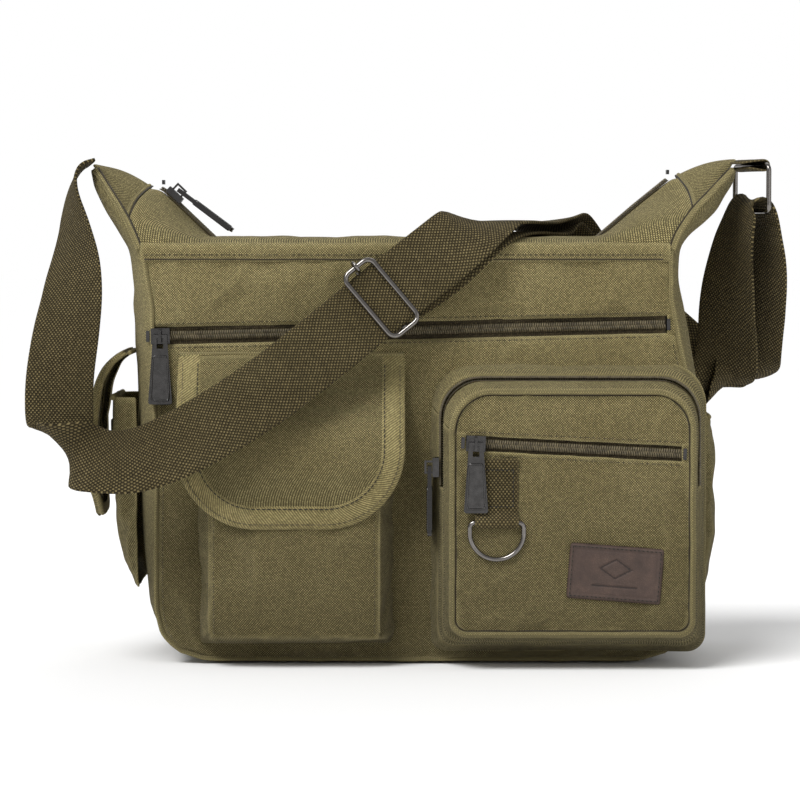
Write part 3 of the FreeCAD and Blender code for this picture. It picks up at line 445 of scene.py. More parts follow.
def woven(name, light, middle, dark, thread, relief, rib=0.0, slub=0.35, sheen=0.25, cross=1.0, wear=0.5,
          grain=0.85, check=0.35, low_shade=0.0):
    """Woven cloth: warp and weft threads of a given width in metres, each thread of its own shade.

    rib is the width of the slanting ribs of a twill tape, or 0 for a plain weave; the last argument is how much
    painted shade darkens the cloth towards the base."""
    light, middle, dark = linear(light), linear(middle), linear(dark)
    s = Shader(name)
    uv, place = s.coordinates()
    part_uv = s.node("ShaderNodeSeparateXYZ")
    s.put(part_uv.inputs[0], uv)
    drift = s.math("MULTIPLY", s.math("SUBTRACT", s.noise(place, 60.0, 1.0), 0.5), thread * 1.2)
    u = s.math("ADD", part_uv.outputs[0], drift)
    v = s.math("ADD", part_uv.outputs[1], drift)
    if rib:
        v = s.math("ADD", v, s.math("MULTIPLY", u, 0.8))
        weave = s.math("ABSOLUTE", s.math("SINE", s.math("MULTIPLY", v, math.pi / rib)))
        cell_v = s.math("FLOOR", s.math("DIVIDE", v, rib))
        over = 0.5
    else:
        a = s.math("SINE", s.math("MULTIPLY", u, math.pi / thread))
        b = s.math("SINE", s.math("MULTIPLY", v, math.pi / (thread * cross)))
        over = s.math("GREATER_THAN", s.math("MULTIPLY", a, b), 0.0)
        warp = s.math("ABSOLUTE", a)
        weft = s.math("ABSOLUTE", b)
        height = s.node("ShaderNodeMix", data_type="FLOAT")
        s.put(height.inputs[0], over)
        s.put(height.inputs[2], s.math("MULTIPLY", weft, s.spread(warp, 0.0, 1.0, 0.45, 1.0)))
        s.put(height.inputs[3], s.math("MULTIPLY", warp, s.spread(weft, 0.0, 1.0, 0.45, 1.0)))
        weave = height.outputs[0]
        cell_v = s.math("FLOOR", s.math("DIVIDE", v, thread * cross))
    cell = s.node("ShaderNodeCombineXYZ")
    s.put(cell.inputs[0], s.math("FLOOR", s.math("DIVIDE", u, thread)))
    s.put(cell.inputs[1], cell_v)
    chance = s.node("ShaderNodeTexWhiteNoise", noise_dimensions="2D")
    s.put(chance.inputs["Vector"], cell.outputs[0])
    uneven = []
    for scale in ((1.0, 0.12, 1.0), (0.12, 1.0, 1.0)):
        stretch = s.node("ShaderNodeMapping")
        s.put(stretch.inputs[0], uv)
        stretch.inputs["Scale"].default_value = scale
        uneven.append(s.math("MULTIPLY", s.noise(stretch.outputs[0], 0.55 / thread, 2.0, 0.6), 0.5))
    slubs = s.math("ADD", uneven[0], uneven[1])
    speck = s.noise(uv, 0.5 / thread, 1.0, 0.6)
    base = s.mix(s.spread(s.noise(place, 14.0, 4.0, 0.6), 0.3, 0.7), middle, light)
    base = s.mix(s.spread(slubs, 0.35, 0.65, 0.0, slub), base, dark)
    base = s.mix(s.spread(chance.outputs["Value"], 0.0, 1.0, 0.0, grain), base, dark)
    base = s.mix(s.math("MULTIPLY", over, check), base, dark)
    base = s.mix(s.spread(weave, 0.05, 0.7, 0.8, 0.0), base, dark)
    # painted shade: the colour is darkened by height towards the base, standing in for the shade on the lower
    # bag
    part_place = s.node("ShaderNodeSeparateXYZ")
    s.put(part_place.inputs[0], place)
    base = s.mix(s.spread(part_place.outputs[2], 0.02, 0.2, low_shade, 0.0), base, dark)
    geometry = s.node("ShaderNodeNewGeometry")
    worn = s.spread(geometry.outputs["Pointiness"], 0.505, 0.56, 0.0, wear)
    base = s.mix(worn, base, light)
    s.put(s.surface.inputs["Base Color"], base)
    s.numbers({"Roughness": 0.92, "Sheen Weight": sheen, "Sheen Roughness": 0.5, "Specular IOR Level": 0.1})
    fuzz = s.bump(speck, thread * 0.5, 0.35)
    s.put(s.surface.inputs["Normal"], s.bump(weave, relief, 0.9, fuzz))
    return s.material


def metal(name, colour, rough):
    s = Shader(name)
    place = s.coordinates()[1]
    smear = s.noise(place, 260.0, 4.0, 0.65)
    dull = [c * 0.72 for c in colour[:3]] + [1]
    s.put(s.surface.inputs["Base Color"], s.mix(s.spread(smear, 0.35, 0.75), colour, dull))
    s.numbers({"Metallic": 1.0})
    s.put(s.surface.inputs["Roughness"], s.spread(smear, 0.3, 0.75, rough, rough + 0.14))
    s.put(s.surface.inputs["Normal"], s.bump(s.noise(place, 900.0, 2.0), 0.00002, 0.5))
    return s.material


def hide(name, light, dark):
    """Grained leather."""
    light, dark = linear(light), linear(dark)
    s = Shader(name)
    place = s.coordinates()[1]
    cells = s.node("ShaderNodeTexVoronoi", feature="DISTANCE_TO_EDGE")
    s.put(cells.inputs["Vector"], place)
    cells.inputs["Scale"].default_value = 900.0
    grain = s.spread(cells.outputs[0], 0.0, 0.25)
    mottle = s.noise(place, 120.0, 5.0, 0.65)
    base = s.mix(s.spread(mottle, 0.3, 0.7), dark, light)
    base = s.mix(s.spread(grain, 0.0, 1.0, 0.5, 0.0), base, dark)
    s.put(s.surface.inputs["Base Color"], base)
    s.put(s.surface.inputs["Roughness"], s.spread(mottle, 0.3, 0.7, 0.5, 0.68))
    s.numbers({"Specular IOR Level": 0.4})
    s.put(s.surface.inputs["Normal"], s.bump(grain, 0.00018, 0.7, s.bump(mottle, 0.0004, 0.5)))
    return s.material


def plastic(name, light, dark, rough):
    light, dark = linear(light), linear(dark)
    s = Shader(name)
    place = s.coordinates()[1]
    mottle = s.noise(place, 420.0, 3.0, 0.6)
    s.put(s.surface.inputs["Base Color"], s.mix(s.spread(mottle, 0.35, 0.7), dark, light))
    s.put(s.surface.inputs["Roughness"], s.spread(mottle, 0.3, 0.7, rough, rough + 0.12))
    s.put(s.surface.inputs["Normal"], s.bump(mottle, 0.00005, 0.5))
    return s.material


# painted shade: the last argument darkens the canvas towards the base
CANVAS = woven("canvas_cloth", (228, 212, 152), (204, 188, 130), (40, 34, 16), 0.00072, 0.0005,
               slub=0.08, sheen=0.05, wear=0.2, grain=0.45, check=0.85, low_shade=0.55)
# painted shade: a darker copy of the canvas, for the bottom panel that lies in shade
CANVAS_DARK = woven("canvas_shade", (186, 172, 124), (164, 151, 104), (36, 31, 15), 0.00072, 0.0005,
                    slub=0.08, sheen=0.05, wear=0.2, grain=0.45, check=0.85)
# painted shade: the last argument darkens the binding towards the base
BINDING = woven("binding_cloth", (196, 181, 128), (170, 156, 106), (40, 34, 16), 0.0006, 0.0006,
                rib=0.0017, slub=0.1, sheen=0.05, wear=0.2, grain=0.4, check=0.0, low_shade=0.4)
WEBBING = woven("webbing_cloth", (150, 135, 95), (126, 112, 76), (14, 11, 5), 0.00105, 0.0009,
                slub=0.1, cross=1.25, sheen=0.02, wear=0.2, grain=0.4, check=0.8)
LINING = woven("lining_cloth", (92, 82, 62), (74, 66, 50), (40, 35, 26), 0.0004, 0.0002)
TAPE = woven("zip_tape_cloth", (96, 85, 60), (78, 68, 48), (22, 18, 10), 0.0005, 0.0003, cross=2.4, sheen=0.1)
VELCRO = woven("hook_loop_cloth", (96, 86, 64), (76, 68, 50), (38, 33, 24), 0.0006, 0.0006)
THREAD = woven("sewing_thread", (190, 176, 128), (164, 150, 106), (70, 62, 38), 0.00025, 0.0001)
# dark thread for real stitches, and also painted shade where thin rolls of it lie in creases and grooves
DARK_THREAD_AND_SHADE = woven("dark_thread_and_crease_shade", (70, 60, 40), (56, 48, 32), (24, 20, 12), 0.00025, 0.0001)
COIL = plastic("coil_nylon", (118, 107, 80), (70, 62, 44), 0.36)
GUNMETAL = metal("gunmetal", [0.085, 0.082, 0.08, 1.0], 0.16)
STEEL = metal("dark_steel", [0.22, 0.205, 0.19, 1.0], 0.12)
PATCH = hide("patch_leather", (86, 68, 59), (56, 43, 37))
EMBOSS = hide("patch_emboss", (58, 44, 38), (36, 27, 23))

# ---------------------------------------------------------------- camera and light

LENS = 150.0
DISTANCE = 1.933
LOOK_AT = Vector((-0.0162, -0.054, 0.1531))
ELEVATION = math.radians(3.0)
camera_data = bpy.data.cameras.new("camera")
camera_data.lens = LENS
camera_data.sensor_width = 36.0
camera = add_object("camera", camera_data)
camera.location = LOOK_AT + Vector((0, -math.cos(ELEVATION), math.sin(ELEVATION))) * DISTANCE
camera.rotation_euler = (math.pi / 2 - ELEVATION, 0, 0)
bpy.context.scene.camera = camera

floor_shader = Shader("floor_white")
floor_shader.numbers({"Base Color": (0.95, 0.95, 0.95, 1), "Roughness": 0.9})
floor_mesh = bpy.data.meshes.new("floor")
REACH = 14.0
floor_mesh.from_pydata([(-REACH, -REACH, 0), (REACH, -REACH, 0), (REACH, REACH, 0), (-REACH, REACH, 0)], [],
                       [(0, 1, 2, 3)])
floor_mesh.materials.append(floor_shader.material)
floor = add_object("floor", floor_mesh)
floor.location.z = -0.0006

world = bpy.data.worlds.new("studio")
world.use_nodes = True
background = world.node_tree.nodes["Background"]
background.inputs[0].default_value = (1, 1, 1, 1)
rays = world.node_tree.nodes.new("ShaderNodeLightPath")
dimmer = world.node_tree.nodes.new("ShaderNodeMapRange")
dimmer.inputs[3].default_value = 0.45
dimmer.inputs[4].default_value = 1.0
world.node_tree.links.new(rays.outputs["Is Camera Ray"], dimmer.inputs[0])
world.node_tree.links.new(dimmer.outputs[0], background.inputs[1])
bpy.context.scene.world = world
bpy.context.scene.view_settings.view_transform = "Standard"


def area_light(name, where, aim, side, power):
    data = bpy.data.lights.new(name, "AREA")
    data.shape = "SQUARE"
    data.size = side
    data.energy = power
    light = add_object(name, data)
    light.location = where
    light.rotation_euler = (Vector(aim) - Vector(where)).to_track_quat("-Z", "Y").to_euler()


sun_data = bpy.data.lights.new("key", "SUN")
sun_data.energy = 2.7
sun_data.angle = 0.5
sun = add_object("key", sun_data)
sun.rotation_euler = Vector((0.5, 0.62, -0.9)).to_track_quat("-Z", "Y").to_euler()
area_light("fill", (1.3, -1.3, 0.7), (0, 0, 0.12), 1.0, 4.0)
area_light("back", (0.2, 1.4, 1.3), (0, 0, 0.15), 1.0, 5.0)

# ---------------------------------------------------------------- straps

STRAP_HALF = 19.7
STRAP_THICK = 2.0


def strap_route(name, points):
    """The smooth line of a strap, read from its own curve, in millimetres."""
    data = bpy.data.curves.new(name + "_route", "CURVE")
    data.dimensions = "3D"
    data.resolution_u = 8
    spline = data.splines.new("NURBS")
    spline.points.add(len(points) - 1)
    for p, target in zip(points, spline.points):
        target.co = (p[0] * MM, p[1] * MM, p[2] * MM, 1.0)
    spline.order_u = 3
    spline.use_endpoint_u = True
    holder = add_object(name + "_route", data)
    graph = bpy.context.evaluated_depsgraph_get()
    mesh = bpy.data.meshes.new_from_object(holder.evaluated_get(graph))
    line = [v.co / MM for v in mesh.vertices]
    bpy.data.meshes.remove(mesh)
    bpy.data.objects.remove(holder)
    return line


STRAP_SHARES = (-1, -0.97, -0.85, -0.6, -0.3, 0, 0.3, 0.6, 0.85, 0.97, 1)


def strap_ribbon(name, points, across):
    """Webbing along the route; the ribbon's width follows the across vectors."""
    dense = strap_route(name, points)
    count = len(dense)
    last = len(points) - 1
    # the place along the curve where each route point pulls hardest
    pulls = [0.0] + [i - 0.5 for i in range(1, last)] + [last - 1.0]
    ways = [Vector(way).normalized() for way in across]
    widths = []
    for i in range(count):
        at = (last - 1.0) * i / (count - 1)
        k = next(j for j in range(last) if at <= pulls[j + 1] + 1e-6)
        share = (at - pulls[k]) / (pulls[k + 1] - pulls[k])
        widths.append(ways[k].lerp(ways[k + 1], share))
    for _ in range(4):
        inner = [(widths[i - 1] + widths[i] * 2 + widths[i + 1]) / 4 for i in range(1, count - 1)]
        widths = [widths[0]] + inner + [widths[-1]]
    rows = []
    for i, p in enumerate(dense):
        ahead = (dense[min(i + 1, count - 1)] - dense[max(i - 1, 0)]).normalized()
        side = (widths[i] - ahead * widths[i].dot(ahead)).normalized()
        out = ahead.cross(side)
        row = []
        for share in STRAP_SHARES:
            bow = 0.5 * rumple(p + side * share * 10, 22.0, 3) + 0.35 * (share * share - 0.4)
            rim = 0.42 if abs(share) > 0.99 else (0.85 if abs(share) > 0.95 else 1.0)
            row.append((p + side * share * STRAP_HALF + out * bow, out * (STRAP_THICK / 2 * rim)))
        rows.append([c + t for c, t in row] + [c - t for c, t in reversed(row)])
    return rows, dense


def strap_piece(name, points, across, body, node, blend_to=None):
    rows, dense = strap_ribbon(name, points, across)
    count = len(rows[0])
    verts = [p for row in rows for p in row]
    uvs = []
    run = 0.0
    for i in range(len(rows)):
        if i:
            run += (dense[i] - dense[i - 1]).length
        for k in range(count):
            m = k if k < count // 2 else count - 1 - k
            uvs.append((STRAP_SHARES[m] * STRAP_HALF * MM, run * MM))
    faces = row_faces(len(rows), count, closed=True) + end_faces(len(rows), count)
    piece = mesh_piece(name, verts, faces, WEBBING, None, uvs)
    if blend_to:
        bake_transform(piece)
    else:
        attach(piece, body)
    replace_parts(piece, node)


STRAP_FRONT = [
    (-199, -8, 291), (-207, -10, 288), (-211, -14, 271), (-208, -23, 246), (-207, -34, 219),
    (-211, -46, 189), (-214, -57, 161), (-212, -67, 132), (-210, -81.5, 127), (-188, -90, 119),
    (-158, -95.5, 121), (-104, -95, 151), (-62, -85, 183), (-27, -75, 212), (4, -69, 236),
    (20, -66, 249.5), (29, -53, 255), (38, -39, 255.7),
]
STRAP_FRONT_ACROSS = [
    (0, -1, 0), (0, -1, 0), (0.25, -0.97, 0), (0.6, -0.8, 0), (0.9, -0.45, 0),
    (1, -0.1, 0), (1, 0, -0.1), (0.82, 0.1, -0.57), (0.55, 0.2, -0.8), (0.15, -0.55, -0.8),
    (0.4, -0.4, -0.8), (0.55, -0.2, -0.8), (0.57, -0.2, -0.8), (0.6, -0.15, -0.78), (0.6, -0.15, -0.78),
    (0.62, -0.3, -0.7), (0.75, -0.5, -0.3), (0.84, -0.54, 0),
]
STRAP_BACK = [
    (38, -39, 255.7), (47, -25, 256.4), (60, 4, 255.8), (73, 29, 255.2), (84.5, 44.5, 248.5),
    (93, 52.5, 236), (110, 60, 218), (134, 63.5, 197), (157, 64, 177), (172, 61, 163),
    (183, 54, 156.5), (189, 46, 161),
]
STRAP_BACK_ACROSS = [
    (0.84, -0.54, 0), (0.84, -0.54, 0), (0.88, -0.45, 0), (0.85, -0.4, 0.2), (0.75, -0.1, 0.6),
    (0.65, 0, 0.75), (0.6, 0.05, 0.8), (0.6, 0.05, 0.8), (0.6, 0.05, 0.8), (0.65, 0.15, 0.75),
    (0.85, 0.2, 0.5), (0.8, 0.6, 0),
]
STRAP_LOOP = [
    (189, 46, 161), (193.2, 40.4, 164.15), (196, 32, 178), (198, 18, 203), (201, 5, 228),
    (200, -4, 252), (195.7, -8, 268.5), (188.3, -8, 268.5), (184, -5, 252), (181, 5, 228),
    (180, 17, 203), (182, 29, 180), (181, 37, 166), (177.5, 44, 158.5),
]
STRAP_LOOP_ACROSS = [
    (0.8, 0.6, 0), (0.85, 0.3, 0), (0.8, -0.5, 0), (0.75, -0.65, 0), (0.6, -0.8, 0),
    (0.4, -0.9, 0), (0.342, -0.94, 0), (0.342, -0.94, 0), (0.4, -0.9, 0), (0.6, -0.8, 0),
    (0.75, -0.65, 0), (0.8, -0.5, 0), (0.85, -0.2, 0), (0.9, 0.3, 0),
]
STRAP_RETURN = [
    (177.5, 44, 158.5), (175.4, 48.2, 154), (166, 55, 158), (150, 58.5, 173), (128, 57, 193.5),
    (104, 51, 217), (86, 43, 237), (77, 36, 247.5), (70, 24, 249), (58, 2, 249),
    (45, -25, 249.8), (32, -45, 249.5), (20, -60.5, 243.5), (4, -62, 230), (-15, -65, 217.5),
]
STRAP_RETURN_ACROSS = [
    (0.9, 0.3, 0), (0.9, 0.3, 0.2), (0.65, 0.15, 0.7), (0.6, 0.05, 0.8), (0.6, 0.05, 0.8),
    (0.6, 0.05, 0.8), (0.65, 0, 0.75), (0.75, -0.3, 0.4), (0.85, -0.45, 0), (0.88, -0.45, 0),
    (0.84, -0.54, 0), (0.75, -0.6, -0.2), (0.65, -0.4, -0.6), (0.6, -0.15, -0.78), (0.6, -0.15, -0.78),
]
strap_piece("strap_front_webbing", STRAP_FRONT, STRAP_FRONT_ACROSS, "strap_sling", "strap_front")
strap_piece("strap_back_webbing", STRAP_BACK, STRAP_BACK_ACROSS, "bag", "strap_back")
strap_piece("strap_loop_webbing", STRAP_LOOP, STRAP_LOOP_ACROSS, "bag", "strap_ring_loop",
            "strap_ring_body")
strap_piece("strap_return_webbing", STRAP_RETURN, STRAP_RETURN_ACROSS, "bag", "strap_return",
            "strap_sling")

# ---------------------------------------------------------------- shell

# (height, x) of the front seams and of the gussets' fullest line
FRONT_LEFT = [(2, -122), (4, -138), (9, -147), (17, -154), (30, -157.5), (65, -157.5), (101, -157),
              (150, -158), (176, -159), (206, -159.5), (225, -162.5), (243, -166)]
FRONT_RIGHT = [(2, 116), (4, 132), (9, 141), (17, 148), (31, 153), (60, 158), (112, 159), (140, 156),
               (165, 150), (190, 144.5), (213, 140.5), (243, 140)]
MID_LEFT = [(2, -122), (6, -141), (14, -156), (28, -164), (60, -168.5), (120, -171), (181, -171.5),
            (215, -173), (243, -176)]
MID_RIGHT = [(2, 116), (6, 137), (14, 152), (28, 160), (60, 163.5), (106, 164.5), (143, 163), (176, 156.5),
             (200, 151), (220, 148), (243, 149)]
FACE = -54.0
HEM_Z = 236.0


def back_y(z):
    return 57.0 - 23.0 * z / 241.0


def panel(name, z_low, z_high, rows, columns, y_of, out, seed, grow, pressure, cap, node, tucked=None):
    """A front or back panel between its side seams; row tucked, if any, rolls inwards."""
    lines = []
    for i in range(rows):
        t = i / (rows - 1)
        line = []
        for k in range(columns):
            u = k / (columns - 1)
            low = z_low(u)
            z = low + (z_high(u) - low) * t
            x0 = softened(FRONT_LEFT, z, 3.0)
            x1 = softened(FRONT_RIGHT, z, 3.0)
            x = x0 + (x1 - x0) * u
            edge = min(u, 1 - u) * (x1 - x0)
            up = min(z - low, z_high(u) - z)
            swell = 1.6 * min(edge / 16.0, 1.0) * min(up / 12.0 + 0.2, 1.0)
            p = (x, 0, z)
            swell += (0.9 * rumple(p, 46.0, seed) + 0.8 * (crease(p, 30.0, seed) - 0.45)) * min(edge / 10, 1)
            tuck = 1.6 if i == tucked else 0.0
            line.append((x, y_of(z) + out * (swell - tuck), z))
        lines.append(line)
    piece = grid(name, lines, CANVAS, "bag", flat=(0, 2))
    settle(piece, edge_indices(rows, columns), grow, pressure, cap)
    refine(thicken(piece, 1.6, out))
    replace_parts(piece, node)
    return piece


def tilted(middle, tilt):
    """Height by x along a flat zip tilted about its middle."""
    return lambda x: middle[1] + (x - middle[0]) * math.tan(tilt)


FRONT_ZIP_MIDDLE = (-11.5, 193.5)
FRONT_ZIP_TILT = math.radians(1.3)
zip_z = tilted(FRONT_ZIP_MIDDLE, FRONT_ZIP_TILT)


def width_at(u, z):
    x0 = level(FRONT_LEFT, z)
    return x0 + (level(FRONT_RIGHT, z) - x0) * u


lower = panel("front_lower_canvas", lambda u: 2.0, lambda u: zip_z(width_at(u, 190)) - 4.4, 46, 76,
              lambda z: FACE, -1, 1, 0.012, 0.6, 3.0, "front_panel_lower", tucked=45)
upper = panel("front_upper_canvas", lambda u: zip_z(width_at(u, 200)) + 4.4, lambda u: HEM_Z, 14, 76,
              lambda z: FACE, -1, 2, 0.015, 0.5, 3.0, "front_panel_upper", tucked=0)
back = panel("back_canvas", lambda u: 2.0, lambda u: 241.0, 46, 60, back_y, 1, 3, 0.012, 0.6, 4.0,
             "back_panel")

bottom_rows = []
for i in range(24):
    y = -53.0 + i * (109.0 / 23)
    row = []
    for k in range(44):
        x = -130.0 + k * (254.0 / 43)
        lift = 0.5 + 0.9 * abs(rumple((x, y, 0), 40.0, 8))
        row.append((x, y, 0.4 + lift * min(min(i, 23 - i) / 3, 1.0)))
    bottom_rows.append(row)
# painted shade: the bottom panel takes the darker copy of the canvas
cloth("bottom_canvas", bottom_rows, 1.2, 1.0, "bottom_panel", CANVAS_DARK, flat=(0, 1))


def gusset(name, seams, fullest, ear_front, ear_back, ear_full, out, node):
    """One end of the bag, from the base up into the ear."""
    rows = []
    heights = [2, 4, 7, 11, 16, 22, 30] + [40 + 8 * k for k in range(25)] + [240]
    for z in heights:
        x_seam = softened(seams, z, 3.0)
        x_full = softened(fullest, z, 3.0)
        row = []
        y0 = FACE + 0.6
        y1 = back_y(z) - 0.6
        for k in range(25):
            v = k / 24
            bulge = math.sin(math.pi * v) ** 0.55
            p = (0, y0 + (y1 - y0) * v, z)
            extra = 1.3 * rumple(p, 34.0, 21 + out) + 1.0 * (crease(p, 26.0, 31 + out) - 0.4)
            x = x_seam + (x_full - x_seam) * bulge + out * extra * min(v, 1 - v) * 4
            row.append((x, y0 + (y1 - y0) * v, z))
        rows.append(row)
    fronts = smooth_line(ear_front, 14)
    backs = smooth_line(ear_back, 14)
    for i in range(1, 14):
        a, b = fronts[i], backs[i]
        row = []
        for k in range(25):
            v = k / 24
            p = a.lerp(b, v)
            full = level(ear_full, p.z) - p.x
            extra = 0.9 * rumple(p, 24.0, 41 + out) * min(v, 1 - v) * 4
            row.append(p + Vector((full * math.sin(math.pi * v) ** 0.55 + out * extra, 0, 0)))
        rows.append(row)
    cloth(name, rows, 1.6, -out, node)


LEFT_EAR_FRONT = [(-165.5, -53.4, 240), (-174, -44, 258), (-184, -32, 273), (-194, -17.5, 287)]
LEFT_EAR_BACK = [(-165.5, 33.5, 240), (-174, 24, 258), (-184, 13, 273), (-194, 1.5, 287)]
RIGHT_EAR_FRONT = [(140, -53.4, 240), (144, -51, 250), (154, -42, 263.5), (165, -30, 274), (178, -17.5, 287)]
RIGHT_EAR_BACK = [(140, 33.5, 240), (144, 31, 250), (154, 23, 263.5), (165, 13, 274), (178, 1.5, 287)]
LEFT_FULL = [(240, -176), (246, -180), (260, -188.5), (277, -197), (287, -199)]
RIGHT_FULL = [(240, 149), (248, 152.5), (253, 160), (263, 171), (279, 181), (287, 183.5)]
gusset("left_gusset_canvas", FRONT_LEFT, MID_LEFT, LEFT_EAR_FRONT, LEFT_EAR_BACK, LEFT_FULL, -1,
       "left_gusset")
gusset("right_gusset_canvas", FRONT_RIGHT, MID_RIGHT, RIGHT_EAR_FRONT, RIGHT_EAR_BACK, RIGHT_FULL, 1,
       "right_gusset")

ZIP_Y = -8.0
CREST = [(-164, 276.6), (-157, 275.4), (-123, 242.9), (97, 242.9), (122, 264.4), (143, 281.4), (148, 283.4)]


def crest_z(x):
    return softened(CREST, x, 2.0)


def facing(name, side, seam_left, seam_right, node, seed):
    """The sloping top between the front or back edge and the main zip."""
    rows = []
    left = smooth_line(seam_left, 15)
    right = smooth_line(seam_right, 15)
    columns = 90
    low_y = left[0].y
    high_y = left[-1].y
    for i in range(15):
        t = i / 14
        row = []
        for k in range(columns):
            u = k / (columns - 1)
            x_low = left[0].x + (right[0].x - left[0].x) * u
            x_high = left[-1].x + (right[-1].x - left[-1].x) * u
            low = Vector((x_low, low_y, left[0].z))
            high = Vector((x_high, high_y, crest_z(x_high)))
            ruled = low.lerp(high, t)
            sides = left[i].lerp(right[i], u)
            corners = left[0].lerp(left[-1], t).lerp(right[0].lerp(right[-1], t), u)
            p = ruled + sides - corners
            dip = 1.2 * rumple(p, 38.0, seed) + 1.0 * (crease(p, 28.0, seed) - 0.45)
            inside = min(min(t, 1 - t) * 5, 1) * min(min(u, 1 - u) * 20, 1)
            p.z += (dip + 1.5 * math.sin(math.pi * t)) * inside
            row.append(p)
        rows.append(row)
    cloth(name, rows, 1.5, side, node)


TAPE_GAP = 5.6
LEFT_SEAM = [(-174, 35, 258.5), (-170, 21, 269), (-164, 6, 276), (-162, 0, 277)]
RIGHT_SEAM = [(154, 34, 263.5), (152, 20, 274.5), (147.5, 6, 282.2), (146.5, 0, 283.4)]


def cap_seam(seam):
    """The seam between an ear's cap and the facings, over the crest from front to back."""
    front = [(x, ZIP_Y - y, z) for x, y, z in seam]
    behind = [(x, ZIP_Y + y * 0.91, z) for x, y, z in reversed(seam[:-1])]
    return front + behind


for label, way, y_low, seed in (("front", -1, -53.6, 51), ("back", 1, 33.6, 52)):
    spread_y = 1.0 if way < 0 else 0.91
    ends = []
    for seam, corner, between in ((LEFT_SEAM, (-165.5, y_low, 240.6), (-170.5, way * 40 - 9, 250)),
                                  (RIGHT_SEAM, (140, y_low, 240.6), (145.5, way * 41 - 9, 251))):
        rise = [(x, ZIP_Y + way * y * spread_y, z) for x, y, z in seam[:2]]
        top = (seam[2][0], ZIP_Y + way * TAPE_GAP, seam[2][2])
        ends.append([corner, between] + rise + [top])
    facing(f"top_{label}_canvas", way, ends[0], ends[1], f"top_facing_{label}", seed)


def ear_cap(name, near, far, node, out, seed):
    """The cap that closes the end of the zip and runs out to the tip."""
    rows = []
    for i in range(14):
        s = i / 13
        row = [near[k].lerp(far[k], s) for k in range(19)]
        for k in range(19):
            v = k / 18
            arch = math.sin(math.pi * v)
            mid = math.sin(math.pi * s)
            row[k] = row[k] + Vector((0, 0, arch * mid * 2.4 + 0.8 * rumple(row[k], 16.0, seed) * arch))
            if v < 0.05 or v > 0.95:
                row[k] = row[k] + Vector((0, (1 if v > 0.5 else -1) * mid * 1.5, 0))
        rows.append(row)
    cloth(name, rows, 1.6, out, node)


left_near = smooth_line(cap_seam(LEFT_SEAM), 19)
left_far = smooth_line([(-194, -18, 286), (-196.5, -15, 290), (-197.5, -8, 291), (-196.5, -1, 290),
                        (-194, 2, 286)], 19)
ear_cap("left_cap_canvas", left_near, left_far, "left_ear_cap", -1, 61)
right_near = smooth_line(cap_seam(RIGHT_SEAM), 19)
right_far = smooth_line([(178, -18, 287), (181, -15, 292), (182.5, -8, 293.5), (181, -1, 292),
                         (178, 2, 287)], 19)
ear_cap("right_cap_canvas", right_near, right_far, "right_ear_cap", 1, 62)


# ---------------------------------------------------------------- seams of the shell


def on_surface(obj, line, out, lift=0.0):
    """The line moved onto an object's surface, seen from the side that out points to."""
    tree = BVHTree.FromObject(obj, bpy.context.evaluated_depsgraph_get())
    way = Vector(out).normalized()
    moved = []
    for p in line:
        start = (Vector(p) + way * 25) * MM
        hit = tree.ray_cast(start, -way, 0.05)
        moved.append(hit[0] / MM + way * lift if hit[0] else Vector(p) + way * lift)
    return moved


def sewn(name, obj, line, out, **more):
    """Stitches laid on an object of the bag along a line."""
    stitches(name, on_surface(obj, line, out, 0.1), [out], "bag", **more)


def edge_line(seams, z_from, z_to, step, inset):
    """Points beside a side seam, inset from it."""
    count = int(abs(z_to - z_from) / step)
    heights = [z_from + (z_to - z_from) * i / count for i in range(count + 1)]
    return [(softened(seams, z, 3.0) + inset, z) for z in heights]


def panel_outline(y_of, z_top):
    left = [Vector((x - 0.4, y_of(z), z)) for x, z in edge_line(FRONT_LEFT, z_top, 3.0, 2.0, 0.0)]
    low = [Vector((-120 + 4 * k, y_of(2), 2.2)) for k in range(60)]
    right = [Vector((x + 0.4, y_of(z), z)) for x, z in edge_line(FRONT_RIGHT, 3.0, z_top, 2.0, 0.0)]
    return left + low + right


def rolled(line, size, amount, seed):
    """A line made slightly uneven, as a sewn seam is."""
    return [Vector(p) + Vector([rumple(p, size, seed + axis) for axis in range(3)]) * amount for p in line]


outline = panel_outline(lambda z: FACE - 0.3, 240)
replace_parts(tube("front_seam_roll", rolled(outline, 12.0, 0.35, 71), 1.35), "front_welt")
outline = panel_outline(lambda z: back_y(z) + 0.3, 240)
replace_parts(tube("back_seam_roll", rolled(outline, 12.0, 0.35, 75), 1.35), "back_welt")

for label, near, fronts, backs, out in (("left", left_near, LEFT_EAR_FRONT, LEFT_EAR_BACK, -1),
                                         ("right", right_near, RIGHT_EAR_FRONT, RIGHT_EAR_BACK, 1)):
    # painted shade: a thin dark roll along the cap's seam stands in for the shade in that crease
    lifted = [p + Vector((out * 0.3, 0, 0.35)) for p in near]
    tube(label + "_cap_crease_shade", rolled(lifted, 10.0, 0.2, 66), 0.5, DARK_THREAD_AND_SHADE)
    lifted = [p + Vector((out * 2.0, 0, 0.5)) for p in near]
    tube(label + "_cap_roll", rolled(lifted, 10.0, 0.3, 67), 1.3)
    for side, line, way in (("front", fronts, -1), ("back", backs, 1)):
        edge = smooth_line(line, 40)
        roll = [p + Vector((out * 1.6, way * 0.4, -0.2)) for p in edge]
        tube(f"{label}_{side}_ear_roll", rolled(roll, 12.0, 0.35, 68), 1.8)
        # painted shade: a thin dark roll beside the ear's seam roll stands in for the shade in the crease
        # between the pieces
        dark = [p + Vector((-out * 0.35, way * 0.9, 0.9)) for p in edge]
        tube(f"{label}_{side}_ear_crease_shade", rolled(dark, 12.0, 0.2, 69), 0.5, DARK_THREAD_AND_SHADE)


